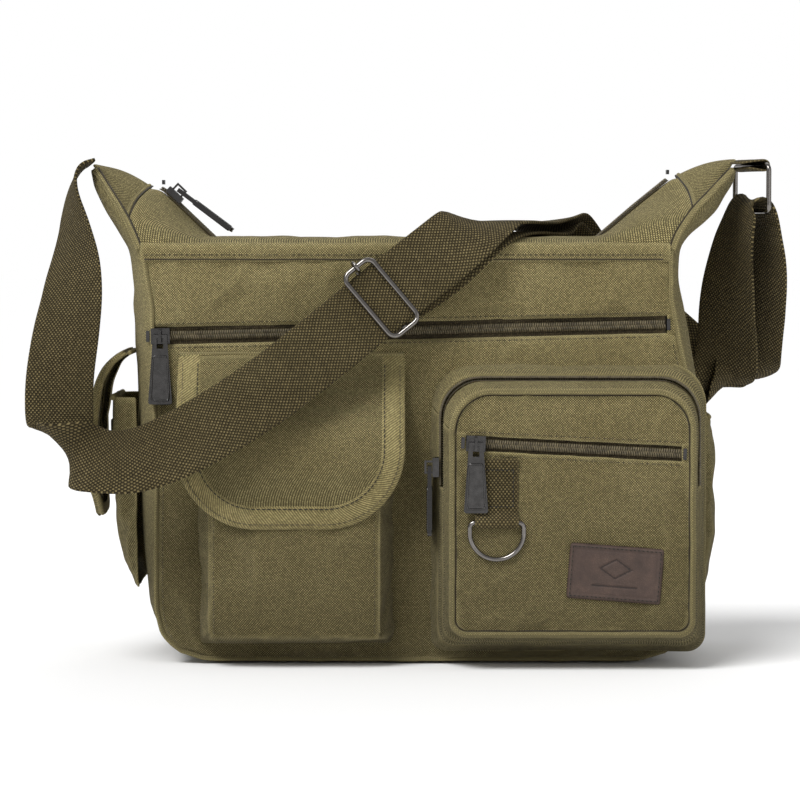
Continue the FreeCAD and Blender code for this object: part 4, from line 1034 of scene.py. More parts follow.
def hem_roll(name, face_y, way):
    """The turned edge along the top of a panel."""
    profile = [(0.0, 233.2), (1.5, 233.8), (2.4, 236.5), (2.3, 240.0), (1.4, 243.0), (-1.0, 244.3),
               (-3.6, 243.2), (-4.2, 240.8)]
    rows = []
    for i in range(110):
        x = -166.5 + (140.5 + 166.5) * i / 109
        row = []
        for out, z in profile:
            p = (x, face_y + way * out, z)
            wave = 0.35 * rumple(p, 16.0, 81) + 0.3 * rumple(p, 60.0, 82)
            row.append((x, face_y + way * (out + wave), z + 0.4 * rumple(p, 30.0, 83)))
        rows.append(row)
    return cloth(name, rows, 0.8, 0.0, flat=(0, 2))


front_hem = hem_roll("front_hem", FACE, -1)
back_hem = hem_roll("back_hem", back_y(238), 1)
# painted shade: a thin dark roll along the hem's groove stands in for the shade in it
groove = row_of((-164, FACE, 234.6), (3, 0, 0), 101)
tube("front_hem_groove_shade", on_surface(front_hem, groove, (0, -1, 0), 0.1), 0.4, DARK_THREAD_AND_SHADE)
sewn("front_hem_stitch", front_hem, row_of((-164, FACE, 237.2), (3, 0, 0), 101), (0, -1, 0))
sewn("back_hem_stitch", back_hem, row_of((-164, 34, 235.6), (3, 0, 0), 101), (0, 1, 0))

for label, seams, inset in (("left", FRONT_LEFT, 3.4), ("right", FRONT_RIGHT, -3.4)):
    line = [Vector((x, FACE, z)) for x, z in edge_line(seams, 12.0, 186.0, 3.0, inset)]
    sewn(label + "_front_stitch", lower, line, (0, -1, 0))
    line = [Vector((x, 40, z)) for x, z in edge_line(seams, 12.0, 232.0, 3.0, inset)]
    sewn(label + "_back_stitch", back, line, (0, 1, 0))

# ---------------------------------------------------------------- zips


def zip_strip(name, line, ups, half, node):
    """The woven tape under a coil; line and ups are in millimetres."""
    rows = []
    for p, up in zip(line, ups):
        rows.append([Vector(p) + Vector(up) * half * (k / 3 - 1) for k in range(7)])
    piece = grid(name, rows, TAPE, "bag")
    thicken(piece, 0.5, 0.0)
    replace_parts(piece, node)


def flat_zip(name, x0, x1, height_at, y, node_prefix, width):
    line = [Vector((x0 + (x1 - x0) * i / 80, y, height_at(x0 + (x1 - x0) * i / 80))) for i in range(81)]
    zip_strip(name + "_cloth", line, [(0, 0, 1)] * 81, 8.0, node_prefix + "_tape")
    turns = zip_coil(name + "_turns", [p + Vector((0, -0.3, 0)) for p in line], [(0, -1, 0)], width)
    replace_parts(turns, node_prefix + "_coil")


def zip_end(name, x_from, x_to, y, height_at, seed):
    """The cloth that covers one end of a flat zip."""
    rows = []
    for i in range(6):
        x = x_from + (x_to - x_from) * i / 5
        low = height_at(x) - 6
        rows.append([(x, y + 0.3 * rumple((x, 0, k * 3.0), 8.0, seed), low + 2 * k) for k in range(7)])
    cloth(name, rows, 1.2, 0.0, flat=(0, 2))


def zip_sides(name, pieces, start, count, height_at, gap):
    """Stitches below and above a flat zip, on the two pieces beside it."""
    for label, piece, way in (("low", pieces[0], -1), ("high", pieces[1], 1)):
        line = row_of((start[0], start[1], 0), (3, 0, 0), count, lambda x: height_at(x) + way * gap)
        sewn(f"{name}_{label}_stitch", piece, line, (0, -1, 0))


flat_zip("front_zip", -161.0, 138.0, zip_z, -51.9, "front_zip", 5.2)
zip_end("left_zip_end", -160.5, softened(FRONT_LEFT, 194.0, 3.0), -53.4, zip_z, 91)
zip_end("right_zip_end", 138.5, softened(FRONT_RIGHT, 194.0, 3.0) + 0.5, -53.4, zip_z, 91)
zip_sides("front_zip", (lower, upper), (-156, FACE), 98, zip_z, 7.0)

crest_line = [Vector((-158 + 300 * i / 120, ZIP_Y, crest_z(-158 + 300 * i / 120))) for i in range(121)]
on_crest = [p + Vector((0, 0, 0.3)) for p in crest_line]
zip_strip("main_zip_cloth", on_crest, [(0, 1, 0)] * 121, 6.6, "main_zip_tape")
crest_out = []
for i in range(121):
    run = crest_line[min(i + 1, 120)] - crest_line[max(i - 1, 0)]
    crest_out.append(Vector((-run.z, 0, run.x)).normalized())
turns = zip_coil("main_zip_turns", [p + n * 0.8 for p, n in zip(crest_line, crest_out)], crest_out, 5.0)
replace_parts(turns, "main_zip_coil")

# ---------------------------------------------------------------- pouches and flaps


def flap(name, body, place, profile, half, height, radius, nodes, trim, seed, droop):
    """A flap hung from its top edge and bound with tape; place maps (across, out, drop) into the bag."""

    def reach(s, full=half, deep=height, round_by=radius):
        start = deep - round_by
        if s <= start:
            return full
        return full - round_by + math.sqrt(max(round_by ** 2 - (s - start) ** 2, 0.0))

    def out_at(a, s):
        base = softened(profile, s, 4.0)
        share = min(abs(a) / half, 1.0)
        wave = 0.9 * rumple((a, 0, s), 32.0, seed) + 0.9 * (crease((a, 0, s), 24.0, seed) - 0.45)
        crown = 1.4 * (1 - share ** 2) * min(s / 30, 1.0)
        return base - droop * share ** 5 + wave * min(s / 12.0, 1.0) + crown

    rows = []
    count = 36
    for i in range(count + 1):
        s = height * math.sin(math.pi / 2 * (i / count) ** 0.92)
        w = max(reach(s) - 1.0, 6.0)
        rows.append([place(w * (k / 20 - 1), out_at(w * (k / 20 - 1), s), s) for k in range(41)])
    cloth(name + "_canvas", rows, 2.2, 1.0 if name == "cargo_flap" else -1.0, nodes[0], body=body)

    # outline of the flap as (across, drop), from the top left round to the top right
    edge = [Vector((-half, 0, s)) for s in range(0, int(height - radius), 2)]
    for k in range(31):
        turn = math.pi / 2 * k / 30
        across = -half + radius - radius * math.cos(turn)
        edge.append(Vector((across, 0, height - radius + radius * math.sin(turn))))
    across = -half + radius + 2
    while across < half - radius:
        edge.append(Vector((across, 0, height)))
        across += 2
    edge += [Vector((-p.x, 0, p.z)) for p in reversed(edge[:len(edge) - int((half - radius))])]
    edge = resample(edge, 150)
    rows = []
    sew_in, sew_out = [], []
    for i, p in enumerate(edge):
        run = edge[min(i + 1, 149)] - edge[max(i - 1, 0)]
        inward = Vector((-run.z, 0, run.x)).normalized()
        if inward.dot(Vector((0, 0, height * 0.4)) - p) < 0:
            inward = -inward
        row = []
        for into, lift in ((6.0, -2.9), (0.5, -2.9), (-0.7, -1.6), (-0.9, -0.2), (-0.2, 0.75), (2.0, 0.95),
                           (6.0, 0.9), (trim - 1.6, 0.85), (trim, 0.25), (trim + 0.4, -0.5)):
            q = p + inward * into
            q.z = max(q.z, 0.0)
            row.append(place(q.x, out_at(q.x, q.z) + lift + 0.15 * rumple(q, 9.0, seed + 3), q.z))
        rows.append(row)
        if 2 < i < 147:
            q = p + inward * (trim - 1.5)
            sew_in.append(place(q.x, out_at(q.x, q.z) + 1.1, q.z))
            q = p + inward * 2.2
            sew_out.append(place(q.x, out_at(q.x, q.z) + 1.15, q.z))
    tape = grid(name + "_binding_tape", rows, BINDING, body)
    refine(tape)
    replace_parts(tape, nodes[1])
    out = Vector(place(0, 10, 50)) - Vector(place(0, 0, 50))
    stitches(name + "_inner_stitch", sew_in, [out], body, material=DARK_THREAD_AND_SHADE, pitch=3.0)
    stitches(name + "_outer_stitch", sew_out, [out], body, material=THREAD, pitch=3.0)
    seam = [place(-half + 2 * half * k / 30, 1.2, 0.2) for k in range(31)]
    tube(name + "_top_seam", rolled(seam, 9.0, 0.3, seed), 1.3, body=body)


CARGO_PROFILE = [(0, 2.0), (9, 6.2), (23, 14.4), (42, 27.2), (60, 28.4), (103, 28.0)]
flap("cargo_flap", "cargo_flap_body", lambda a, out, s: (-79 + a, FACE - out, 180 - s), CARGO_PROFILE,
     65.0, 99.0, 45.0, ("cargo_flap", "cargo_flap_binding"), 12.5, 101, 2.5)
SIDE_PROFILE = [(0, 2.0), (5, 13.5), (20, 21.0), (45, 23.6), (75, 24.6), (99, 18.5)]
flap("side_flap", "side_flap_body", lambda a, out, s: (-173 - out, -a, 180 - s), SIDE_PROFILE,
     38.0, 97.0, 30.0, ("side_flap", "side_flap_binding"), 12.0, 111, 1.0)


def pouch(name, place, base, face, depths, z_low, z_high, face_drop, swell, node, seed, sink, columns=56,
          rows_count=44):
    """A pocket of one piece of cloth folded over its sides and bottom.

    base and face are (left, right) across at the panel and at the front; depths gives depth by height."""
    rows = []
    for i in range(rows_count):
        t = (i / (rows_count - 1)) ** 1.25
        centre_z = z_low + (z_high - z_low) * t
        shut = min((centre_z - z_low) / sink, 1.0)
        fold = math.sin(math.pi / 2 * shut) ** 0.8 if shut > 0 else 0.0
        d = level(depths, centre_z) * fold
        left, right = base
        f_left, f_right = face
        outline = [(left, 0.0, 0), (left + (f_left - left) * 0.45, d * 0.5, 0), (f_left + 0.4, d * 0.93, 0),
                   (f_left + 6, d + 0.5, 0), ((f_left + f_right) / 2, d + swell * fold, 0),
                   (f_right - 6, d + 0.5, 0), (f_right - 0.4, d * 0.93, 0),
                   (right + (f_right - right) * 0.45, d * 0.5, 0), (right, 0.0, 0)]
        line = smooth_line(outline, columns)
        row = []
        for k, p in enumerate(line):
            share = p.y / max(level(depths, z_high), 1e-6)
            z = centre_z - face_drop * t * min(share, 1.0)
            wave = 1.0 * rumple((p.x, 0, z), 30.0, seed) + 1.2 * (crease((p.x, 0, z), 22.0, seed) - 0.45)
            low = max(0.0, 1 - (centre_z - z_low) / 45)
            wave += 0.8 * rumple((p.x * 0.6, 0, z * 2.4), 16.0, seed + 2) * low
            inner = min(k, columns - 1 - k)
            row.append(place(p.x, max(p.y + wave * fold * min(inner / 6, 1.0), 0.0), z))
        rows.append(row)
    piece = grid(name, rows, CANVAS, "bag")
    settle(piece, edge_indices(rows_count, columns), 0.02, 0.5, 2.2)
    refine(thicken(piece, 1.6, -1.0))
    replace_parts(piece, node)
    return piece


cargo = pouch("cargo_pocket_canvas", lambda a, d, z: (a, FACE - d, z), (-133.0, -19.0), (-127.0, -27.0),
              [(11, 24.6), (150, 24.6)], 11.0, 150.0, 16.0, 1.2, "cargo_pocket", 121, sink=9.0)
for label, x in (("left", -125.8), ("right", -28.2)):
    line = row_of((x, -78, 20), (0, 0, 3), 36)
    laid = on_surface(cargo, line, (0, -1, 0), -0.1)
    tube("cargo_edge_" + label, rolled(laid, 9.0, 0.25, 125), 0.75)
    way = 2.6 if label == "left" else -2.6
    sewn("cargo_edge_stitch_" + label, cargo, [p + Vector((way, 0, 0)) for p in line], (0, -1, 0))
top_edge = row_of((-126, -79, 133.6), (3, 0, 0), 33)
tube("cargo_top_hem", rolled(top_edge, 14.0, 0.4, 127), 1.5)
pouch("side_pocket_canvas", lambda a, d, z: (-170.5 - d, -a, z), (-36.0, 36.0), (-33.0, 33.0),
      [(42, 1.0), (58, 6.0), (84, 11.5), (120, 13.5), (154, 13.5)], 42.0, 154.0, 0.0, 0.0, "side_pocket", 131,
      sink=5.0, columns=36, rows_count=34)
line = row_of((-184.4, -34, 153.6), (0, 2, 0), 35)
tube("side_pocket_hem", rolled(line, 12.0, 0.4, 133), 1.7)
pouch("slip_pocket_canvas", lambda a, d, z: (161.5 + d, a, z), (-38.0, 38.0), (-36.0, 36.0),
      [(32, 0.2), (50, 2.4), (76, 5.2), (112, 5.2), (143, 3.4)], 32.0, 143.0, 0.0, 0.0, "slip_pocket", 141,
      sink=4.0, columns=36, rows_count=34)
line = row_of((164.6, -36, 142.4), (0, 2, 0), 37)
tube("slip_pocket_hem", rolled(line, 12.0, 0.4, 143), 1.6)


def fastener(name, low, high, across, body, node, out, count=12):
    """A flat strip of hook or loop tape between opposite corners; across is the index of its long side."""
    rows = []
    for i in range(count):
        row = []
        for k in range(count):
            p = Vector(low)
            p[across] += (high[across] - low[across]) * k / (count - 1)
            p.z += (high[2] - low[2]) * i / (count - 1)
            row.append(p + Vector(out) * 0.25 * rumple((i * 2, k * 2, 0), 6.0, 151))
        rows.append(row)
    cloth(name, rows, 0.7, 0.0, node, VELCRO, "hook_and_loop", body)


fastener("cargo_loop_strip", (-109, -80.6, 104), (-49, -80.6, 124), 0, "bag", "cargo_loop_tape", (0, -1, 0))
fastener("cargo_hook_strip", (-109, -79.5, 106), (-49, -79.5, 126), 0, "cargo_flap_body", "cargo_hook_tape",
         (0, -1, 0))
fastener("side_loop_strip", (-186.6, -20, 122), (-186.6, 20, 140), 1, "bag", "side_loop_tape", (-1, 0, 0))
fastener("side_hook_strip", (-193.4, -20, 112), (-193.4, 20, 130), 1, "side_flap_body", "side_hook_tape",
         (-1, 0, 0))

# ---------------------------------------------------------------- organiser pocket

DEEP = 34.0
ZIP_FROM = 14.0
ZIP_TO = 22.0
ZIP_FOOT = 107.0
FOOT_ROUND = 8.0
TOP_ROUND = 22.0


def organiser_ring(d, grow=0.0):
    """The rounded outline of the organiser at one depth: points and outward normals."""
    taper = 12.0 * d / DEEP
    left = 2.0 + taper - grow
    right = 159.0 - 0.7 * taper + grow
    low = 9.0 + taper - grow
    high = 173.0 - 1.15 * taper + grow
    pts, outs = [], []

    def arc(cx, cz, r, from_turn):
        for k in range(9):
            turn = math.radians(from_turn - 90 * k / 8)
            outs.append(Vector((math.cos(turn), 0, math.sin(turn))))
            pts.append(Vector((cx, 0, cz)) + outs[-1] * r)

    def side(a, b, out, steps=34):
        for k in range(1, steps):
            pts.append(a.lerp(b, k / steps))
            outs.append(Vector(out))

    small, big = FOOT_ROUND + grow, TOP_ROUND + grow
    arc(left + big, high - big, big, 180)
    side(Vector((left + big, 0, high)), Vector((right - big, 0, high)), (0, 0, 1))
    arc(right - big, high - big, big, 90)
    side(Vector((right, 0, high - big)), Vector((right, 0, low + small)), (1, 0, 0))
    arc(right - small, low + small, small, 0)
    side(Vector((right - small, 0, low)), Vector((left + small, 0, low)), (0, 0, -1))
    arc(left + small, low + small, small, -90)
    side(Vector((left, 0, low + small)), Vector((left, 0, high - big)), (-1, 0, 0))
    for p in pts:
        p.y = FACE - d
    return pts, outs


def organiser_wall(name, depths, seed, bulge, node=None, top=None):
    """A band of the organiser's side between two depths, all round or only below the height top."""
    rows = []
    for d in depths:
        pts, outs = organiser_ring(d)
        share = (d - depths[0]) / (depths[-1] - depths[0])
        row = []
        for p, n in zip(pts, outs):
            wave = 0.8 * rumple(p, 22.0, seed) + 1.0 * (crease(p, 18.0, seed) - 0.45)
            if n.z < -0.5:
                wave += 1.2 * crease((p.x, 0, p.y * 2), 14.0, seed + 1)
            fall = math.sin(math.pi * share)
            row.append(p + n * (bulge * fall + wave * (0.25 + 0.75 * fall)))
        rows.append(row)
    if top is None:
        rows = [row + [row[0].copy()] for row in rows]
    else:
        order = stretch_of(len(rows[0]), lambda k: rows[0][k].z < top)
        rows = [[row[k] for k in order] for row in rows]
    cloth(name, rows, 1.4, -1.0, node)


organiser_wall("organiser_rear_band", [0.1 + 1.98 * k for k in range(8)], 161, 1.0, "organiser_back")
organiser_wall("organiser_front_band", [ZIP_TO + 1.7 * k for k in range(8)], 163, 0.4)
organiser_wall("organiser_low_band", [ZIP_FROM + 1.0 * k for k in range(9)], 165, 0.6, top=ZIP_FOOT)

pts, outs = organiser_ring(18.0)
order = stretch_of(len(pts), lambda k: pts[k].z > ZIP_FOOT - 3)
loop_line = [pts[k] for k in order]
loop_out = [outs[k] for k in order]
under = [p - n * 0.4 for p, n in zip(loop_line, loop_out)]
zip_strip("corner_zip_cloth", under, [(0, 1, 0)] * len(order), 5.6, "corner_zip_tape")
over = [p + n * 0.9 for p, n in zip(loop_line, loop_out)]
turns = zip_coil("corner_zip_turns", over, loop_out, 4.4, pitch=1.25, radius=0.45)
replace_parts(turns, "corner_zip_coil")
for label, d in (("rear", ZIP_FROM - 0.2), ("front", ZIP_TO + 0.2)):
    pts, outs = organiser_ring(d, 0.4)
    line = [pts[k] for k in order]
    tube("corner_zip_edge_" + label, rolled(line, 10.0, 0.2, 171), 0.7)
    pts, outs = organiser_ring(d + (-2.6 if label == "rear" else 2.6), 1.1)
    stitches("corner_zip_stitch_" + label, [pts[k] for k in order], [outs[k] for k in order], "bag")

pts, outs = organiser_ring(DEEP, 0.5)
for p in pts:
    p.y -= 0.4
piping = tube("organiser_piping_roll", rolled(pts, 14.0, 0.3, 173), 1.75, closed=True, sides=12)
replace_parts(piping, "organiser_piping")
# painted shade: a thin dark ring just inside the piping stands in for the shade in the groove there
pts, outs = organiser_ring(DEEP, -1.7)
tube("organiser_face_groove_shade", rolled(pts, 14.0, 0.2, 175), 0.45, DARK_THREAD_AND_SHADE, closed=True)
pts, outs = organiser_ring(0.6, 1.0)
tube("organiser_base_roll", rolled(pts, 14.0, 0.3, 174), 1.5, closed=True, sides=12)


ORGANISER_ZIP_MIDDLE = (83.0, 127.2)
ORGANISER_ZIP_TILT = math.radians(-2.9)
organiser_zip_z = tilted(ORGANISER_ZIP_MIDDLE, ORGANISER_ZIP_TILT)


def face_span(z, inset):
    """Left and right of the organiser's face at a height, round its corners."""
    left, right, low, high = 14.0 + inset, 150.6 - inset, 21.0 + inset, 159.2 - inset
    cut = 0.0
    if z < low + FOOT_ROUND:
        cut = FOOT_ROUND - math.sqrt(max(FOOT_ROUND ** 2 - (low + FOOT_ROUND - z) ** 2, 0.0))
    if z > high - TOP_ROUND:
        cut = TOP_ROUND - math.sqrt(max(TOP_ROUND ** 2 - (z - high + TOP_ROUND) ** 2, 0.0))
    return left + cut, right - cut


def organiser_face(name, low_of, high_of, rows_count, node, seed, swell, grow):
    rows = []
    columns = 52
    for i in range(rows_count):
        t = i / (rows_count - 1)
        row = []
        for k in range(columns):
            u = k / (columns - 1)
            x_mid = 15 + 135 * u
            z = low_of(x_mid) + (high_of(x_mid) - low_of(x_mid)) * t
            x0, x1 = face_span(z, 0.8)
            x = x0 + (x1 - x0) * u
            edge = min(u, 1 - u) * (x1 - x0)
            up = min(t, 1 - t) * (high_of(x_mid) - low_of(x_mid))
            fall = min(edge / 14.0, 1.0) ** 0.6 * min(up / 10.0, 1.0) ** 0.6
            wave = 0.7 * rumple((x, 0, z), 34.0, seed) + 1.1 * (crease((x, 0, z), 26.0, seed) - 0.5)
            low = max(0.0, 1 - (z - 21) / 26.0)
            wave += 1.3 * (crease((x * 0.55, 0, z * 1.6), 17.0, seed + 4) - 0.5) * low
            row.append((x, FACE - DEEP - (swell + wave) * fall, z))
        rows.append(row)
    piece = grid(name, rows, CANVAS, "bag", flat=(0, 2))
    settle(piece, edge_indices(rows_count, columns), grow, 0.2, 0.9)
    refine(thicken(piece, 1.4, -1.0))
    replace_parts(piece, node)
    return piece


face_low = organiser_face("organiser_face_low", lambda x: 21.6, lambda x: organiser_zip_z(x) - 4.2, 42,
                          "organiser_front_lower", 181, 0.4, 0.02)
face_high = organiser_face("organiser_face_high", lambda x: organiser_zip_z(x) + 4.2, lambda x: 158.4, 16,
                           "organiser_front_upper", 183, 0.4, 0.015)
flat_zip("organiser_zip", 20.6, 145.4, organiser_zip_z, -85.9, "organiser_zip", 5.2)
zip_end("left_pocket_zip_end", 21.5, 14.4, -87.6, organiser_zip_z, 191)
zip_end("right_pocket_zip_end", 144.5, 150.2, -87.6, organiser_zip_z, 191)
zip_sides("organiser_zip", (face_low, face_high), (24, -88), 41, organiser_zip_z, 6.6)

rows = []
for i in range(20):
    z = 23.0 + 135.0 * i / 19
    x0, x1 = face_span(z, 2.5)
    rows.append([(x0 + (x1 - x0) * k / 19, -79.0, z) for k in range(20)])
inner = grid("organiser_inner_sheet", rows, LINING, "bag", flat=(0, 2))
thicken(inner, 0.6, 0.0)
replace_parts(inner, "organiser_divider")

# ---------------------------------------------------------------- lining

rows = []
for z, grow in ((6, 0.0), (60, 6), (130, 10), (200, 12), (231, 13)):
    left, right = -126 - grow * 2.2, 122 + grow * 1.1
    y0, y1 = -42.0, back_y(z) - 4.5
    ring = []
    for a, b, n in (((left, y0), (right, y0), 20), ((right, y0), (right, y1), 8), ((right, y1), (left, y1), 20),
                    ((left, y1), (left, y0), 8)):
        for k in range(n):
            ring.append((a[0] + (b[0] - a[0]) * k / n, a[1] + (b[1] - a[1]) * k / n, z))
    ring.append(ring[0])
    rows.append(ring)
floor_ring = [(x * 0.1, y * 0.1 + 5, 6.2) for x, y, z in rows[0]]
lining = grid("lining_bag", [floor_ring] + rows, LINING, "bag")
thicken(lining, 0.6, 0.0)
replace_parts(lining, "lining")
rows = [[(-149 + 284 * k / 30, y, z) for k in range(31)] for y, z in
        ((-50.2, 187), (-50.4, 130), (-50.2, 74), (-47.5, 70.5), (-44.6, 74), (-44.4, 130), (-44.2, 187))]
pocket_bag = grid("front_pocket_sheet", rows, LINING, "bag")
thicken(pocket_bag, 0.5, 0.0)
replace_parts(pocket_bag, "front_pocket_bag")

# ---------------------------------------------------------------- webbing tab, patch and ring loop


def band(name, profile, across, half, node, columns=17):
    """A narrow band: its profile line swept sideways."""
    line = smooth_line(profile, 44)
    way = Vector(across).normalized()
    rows = []
    for p in line:
        rows.append([p + way * half * (2 * k / (columns - 1) - 1) + Vector((0, 0.18, 0.1)) * rumple(
            p + way * k * 2, 9.0, 201) for k in range(columns)])
    piece = grid(name, rows, WEBBING, "bag")
    piece.data.flip_normals()
    refine(thicken(piece, 1.3, 0.0))
    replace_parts(piece, node)
    return piece


def sewn_frame(name, obj, corners, place, steps, **more):
    """Dark stitches along the sides of a closed outline; place maps (across, up) into the bag."""
    closed = corners + corners[:1]
    for number, (a, b) in enumerate(zip(closed, closed[1:])):
        pts = [place(*(p + (q - p) * k / steps for p, q in zip(a, b))) for k in range(steps + 1)]
        sewn(f"{name}_{number}", obj, pts, (0, -1, 0), material=DARK_THREAD_AND_SHADE, **more)


tab = band("d_ring_tab_webbing",
           [(39, -88.7, 121.5), (39, -89.5, 119.5), (39, -89.6, 106), (39, -89.6, 92), (39, -91.6, 88.3),
            (39, -93.5, 86.2), (39, -93.6, 83.8), (39, -91.8, 82.0), (39, -89.6, 82.4), (39, -88.6, 84.8),
            (39, -88.5, 92)],
           (1, 0, 0), 12.6, "dring_tab")
sewn_frame("tab_box_stitch", tab, [(29.5, 94), (48.5, 94), (48.5, 115), (29.5, 115)],
           lambda a, b: Vector((a, -90, b)), 10, pitch=2.6, length=1.9)

RING = Vector((192.0, -8.0, 289.5))
ring_out = Vector((0.94, 0.342, 0))
loop_profile = []
for along, rise in ((-16, 1.1), (-10, 2.0), (-4, 2.7), (0, 3.0), (2.4, 2.2), (3.3, 0.0), (2.4, -2.2),
                    (0, -3.0), (-4, -2.4), (-10, -1.6)):
    loop_profile.append(RING + ring_out * along + Vector((0, 0, rise)))
band("ring_loop_webbing", loop_profile, (0.342, -0.94, 0), 17.0, "ring_loop")

PATCH_MIDDLE = Vector((106.7, -88.1, 55.7))
PATCH_TILT = math.radians(-4.5)
PATCH_WIDE = 27.0
PATCH_HIGH = 16.0
PATCH_ROUND = 2.4
right_way = Vector((math.cos(PATCH_TILT), 0, math.sin(PATCH_TILT)))
up_way = Vector((-math.sin(PATCH_TILT), 0, math.cos(PATCH_TILT)))


def patch_height(a, b):
    """Relief of the patch at a point from its middle: rounded rim, pressed frame and a plain lozenge."""
    rim = min(PATCH_WIDE - abs(a), PATCH_HIGH - abs(b))
    height = 1.7 * min(max(rim, 0.0) / 1.3, 1.0) ** 0.5
    frame_gap = abs(rim - 3.4)
    if frame_gap < 0.7:
        height -= 0.3 * (1 - frame_gap / 0.7)
    lozenge = abs(abs(a) / 9.0 + abs(b - 2.6) / 5.4 - 1.0)
    bars = abs(b + 7.4) < 0.7 and abs(a) < 13.5
    pressed = lozenge < 0.16 or bars
    if pressed:
        height -= 0.4
    return height, pressed


# the face under the patch, as one gently bent sheet: the furthest reach of each column
PATCH_COLUMNS = 12
reach_out = []
for k in range(PATCH_COLUMNS + 1):
    a = -PATCH_WIDE + 2 * PATCH_WIDE * k / PATCH_COLUMNS
    column = [PATCH_MIDDLE + right_way * a + up_way * b for b in (-15, -10, -5, 0, 5, 10, 15)]
    reach_out.append(min(p.y for p in on_surface(face_low, column, (0, -1, 0))))
for _ in range(3):
    ends = [reach_out[0]] + reach_out + [reach_out[-1]]
    reach_out = [(ends[k] + 2 * ends[k + 1] + ends[k + 2]) / 4 for k in range(PATCH_COLUMNS + 1)]
reach_out = [(PATCH_WIDE - 2 * PATCH_WIDE * (PATCH_COLUMNS - k) / PATCH_COLUMNS, y)
             for k, y in enumerate(reach_out)]

verts, uvs, marks = [], [], []
columns, lines = 108, 64
for i in range(lines + 1):
    for k in range(columns + 1):
        a = -PATCH_WIDE + 2 * PATCH_WIDE * k / columns
        b = -PATCH_HIGH + 2 * PATCH_HIGH * i / lines
        height, pressed = patch_height(a, b)
        past_a = abs(a) - (PATCH_WIDE - PATCH_ROUND)
        past_b = abs(b) - (PATCH_HIGH - PATCH_ROUND)
        if past_a > 0 and past_b > 0 and math.hypot(past_a, past_b) > PATCH_ROUND:
            shrink = PATCH_ROUND / math.hypot(past_a, past_b)
            a = math.copysign(PATCH_WIDE - PATCH_ROUND + past_a * shrink, a)
            b = math.copysign(PATCH_HIGH - PATCH_ROUND + past_b * shrink, b)
            height *= 0.2
        p = PATCH_MIDDLE + right_way * a + up_way * b
        p.y = level(reach_out, a) - height - 0.2 * rumple(p, 20.0, 211)
        verts.append(p)
        uvs.append((a * MM, b * MM))
        marks.append(pressed)
patch = mesh_piece("leather_label", verts, row_faces(lines + 1, columns + 1), PATCH, "bag", uvs)
patch.data.materials.append(EMBOSS)
for polygon in patch.data.polygons:
    if all(marks[v] for v in polygon.vertices):
        polygon.material_index = 1
thicken(patch, 0.8, -1.0)
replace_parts(patch, "leather_patch")
sewn_frame("label_stitch", patch, [(-25.2, -14.2), (25.2, -14.2), (25.2, 14.2), (-25.2, 14.2)],
           lambda a, b: PATCH_MIDDLE + right_way * a + up_way * b, 20, pitch=2.4, length=1.8, radius=0.26)

# ---------------------------------------------------------------- adjuster's sewn end

AHEAD = Vector((0.766, 0.186, 0.615)).normalized()
ACROSS = Vector((0.6, -0.15, -0.78))
ACROSS = (ACROSS - AHEAD * ACROSS.dot(AHEAD)).normalized()
OUTWARD = ACROSS.cross(AHEAD)
if OUTWARD.y > 0:
    OUTWARD = -OUTWARD
ADJUSTER_AT = Vector((-26.97, -75.58, 212.14))
TAIL_BEHIND = 5.35
TAIL_HALF = 18.9
rows = []
for i in range(14):
    s = 1.0 + 30.0 * i / 13
    row = []
    for k in range(17):
        wave = 0.2 * rumple((s, k * 2, 0), 9.0, 221)
        row.append(ADJUSTER_AT + AHEAD * s + ACROSS * (TAIL_HALF * (k / 8 - 1)) + OUTWARD * (wave - TAIL_BEHIND))
    rows.append(row)
cloth("adjuster_tail_webbing", rows, 0.9, 0.0, "adjuster_tail", WEBBING, "strap_webbing", "adjuster")

# ---------------------------------------------------------------- metal pieces


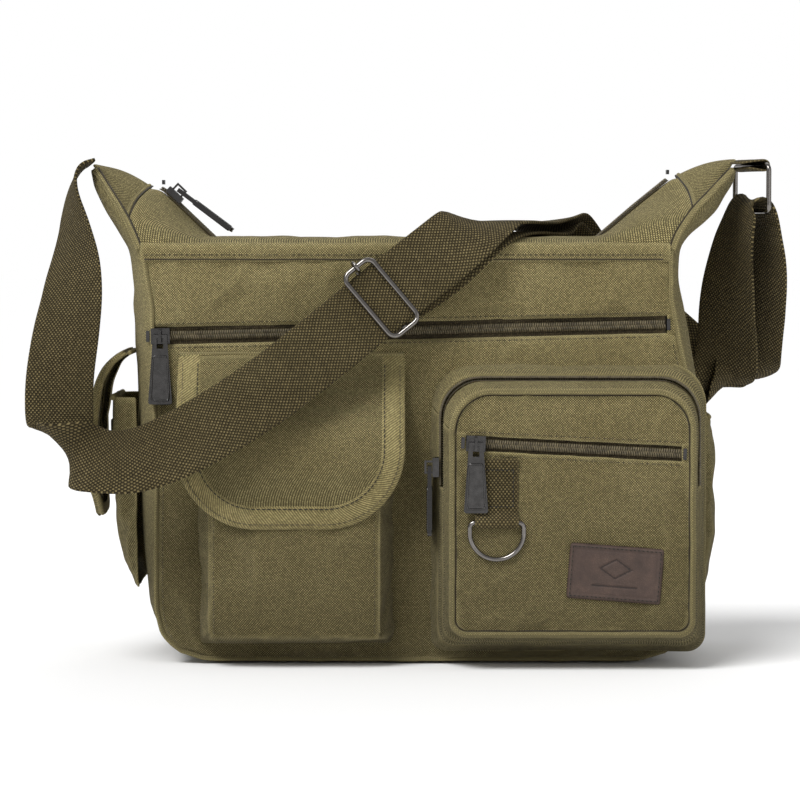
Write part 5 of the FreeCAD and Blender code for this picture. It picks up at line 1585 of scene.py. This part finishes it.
def pull_rim(name, body, pin, right, down, out):
    """The raised frame round the recessed panel of a zip pull, on both faces."""
    right, down, out = Vector(right).normalized(), Vector(down).normalized(), Vector(out).normalized()
    for label, way in (("front", 1), ("back", -1)):
        corners = [(-4.1, 11.5), (4.1, 11.5), (5.3, 37.2), (-5.3, 37.2)]
        outline = []
        for i, (a, b) in enumerate(corners):
            nxt = corners[(i + 1) % 4]
            for k in range(10):
                t = 0.08 + 0.84 * k / 9
                outline.append((a + (nxt[0] - a) * t, b + (nxt[1] - b) * t))
        pts = [Vector(pin) + right * a + down * b + out * way * 1.15 for a, b in outline]
        tube(f"{name}_rim_{label}", pts, 0.62, GUNMETAL, body, closed=True, sides=8)


def pull_pin(middle, tilt, back, y):
    """Where a flat zip's pull hangs: back along the zip from its middle."""
    return (middle[0] - back * math.cos(tilt), y, middle[1] - back * math.sin(tilt))


pull_rim("front_pull", "front_zip_pull_body", pull_pin(FRONT_ZIP_MIDDLE, FRONT_ZIP_TILT, 143.5, -57.9),
         (1, 0, 0), (0, 0, -1), (0, -1, 0))
pull_rim("organiser_pull", "organiser_zip_pull_body",
         pull_pin(ORGANISER_ZIP_MIDDLE, ORGANISER_ZIP_TILT, 56.0, -91.9), (1, 0, 0), (0, 0, -1), (0, -1, 0))
pull_rim("corner_pull", "corner_zip_pull_body", (0.753, -72.0, 115.5), (0, -1, 0), (0, 0, -1), (-1, 0, 0))
pull_rim("main_pull", "main_zip_pull_body", (-146.81, -8.0, 274.81), (0, 1, 0), (0.80, 0, -0.60),
         (0.60, 0, 0.80))

RINGS = ["strap_ring", "d_ring", "adjuster_frame", "adjuster_bar"]
METAL_NODES = ["zip_stops"] + RINGS
for prefix in ("main_zip", "front_zip", "organiser_zip", "corner_zip"):
    METAL_NODES += [prefix + "_slider", prefix + "_pull"]
for name in METAL_NODES:
    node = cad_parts[name]
    node.data.materials.clear()
    node.data.materials.append(STEEL if name in RINGS else GUNMETAL)
    if "pull" in name or "slider" in name:
        edge = node.modifiers.new("soft_edge", "BEVEL")
        edge.width = 0.35 * MM
        edge.segments = 2
        edge.limit_method = "ANGLE"
        edge.angle_limit = math.radians(40)
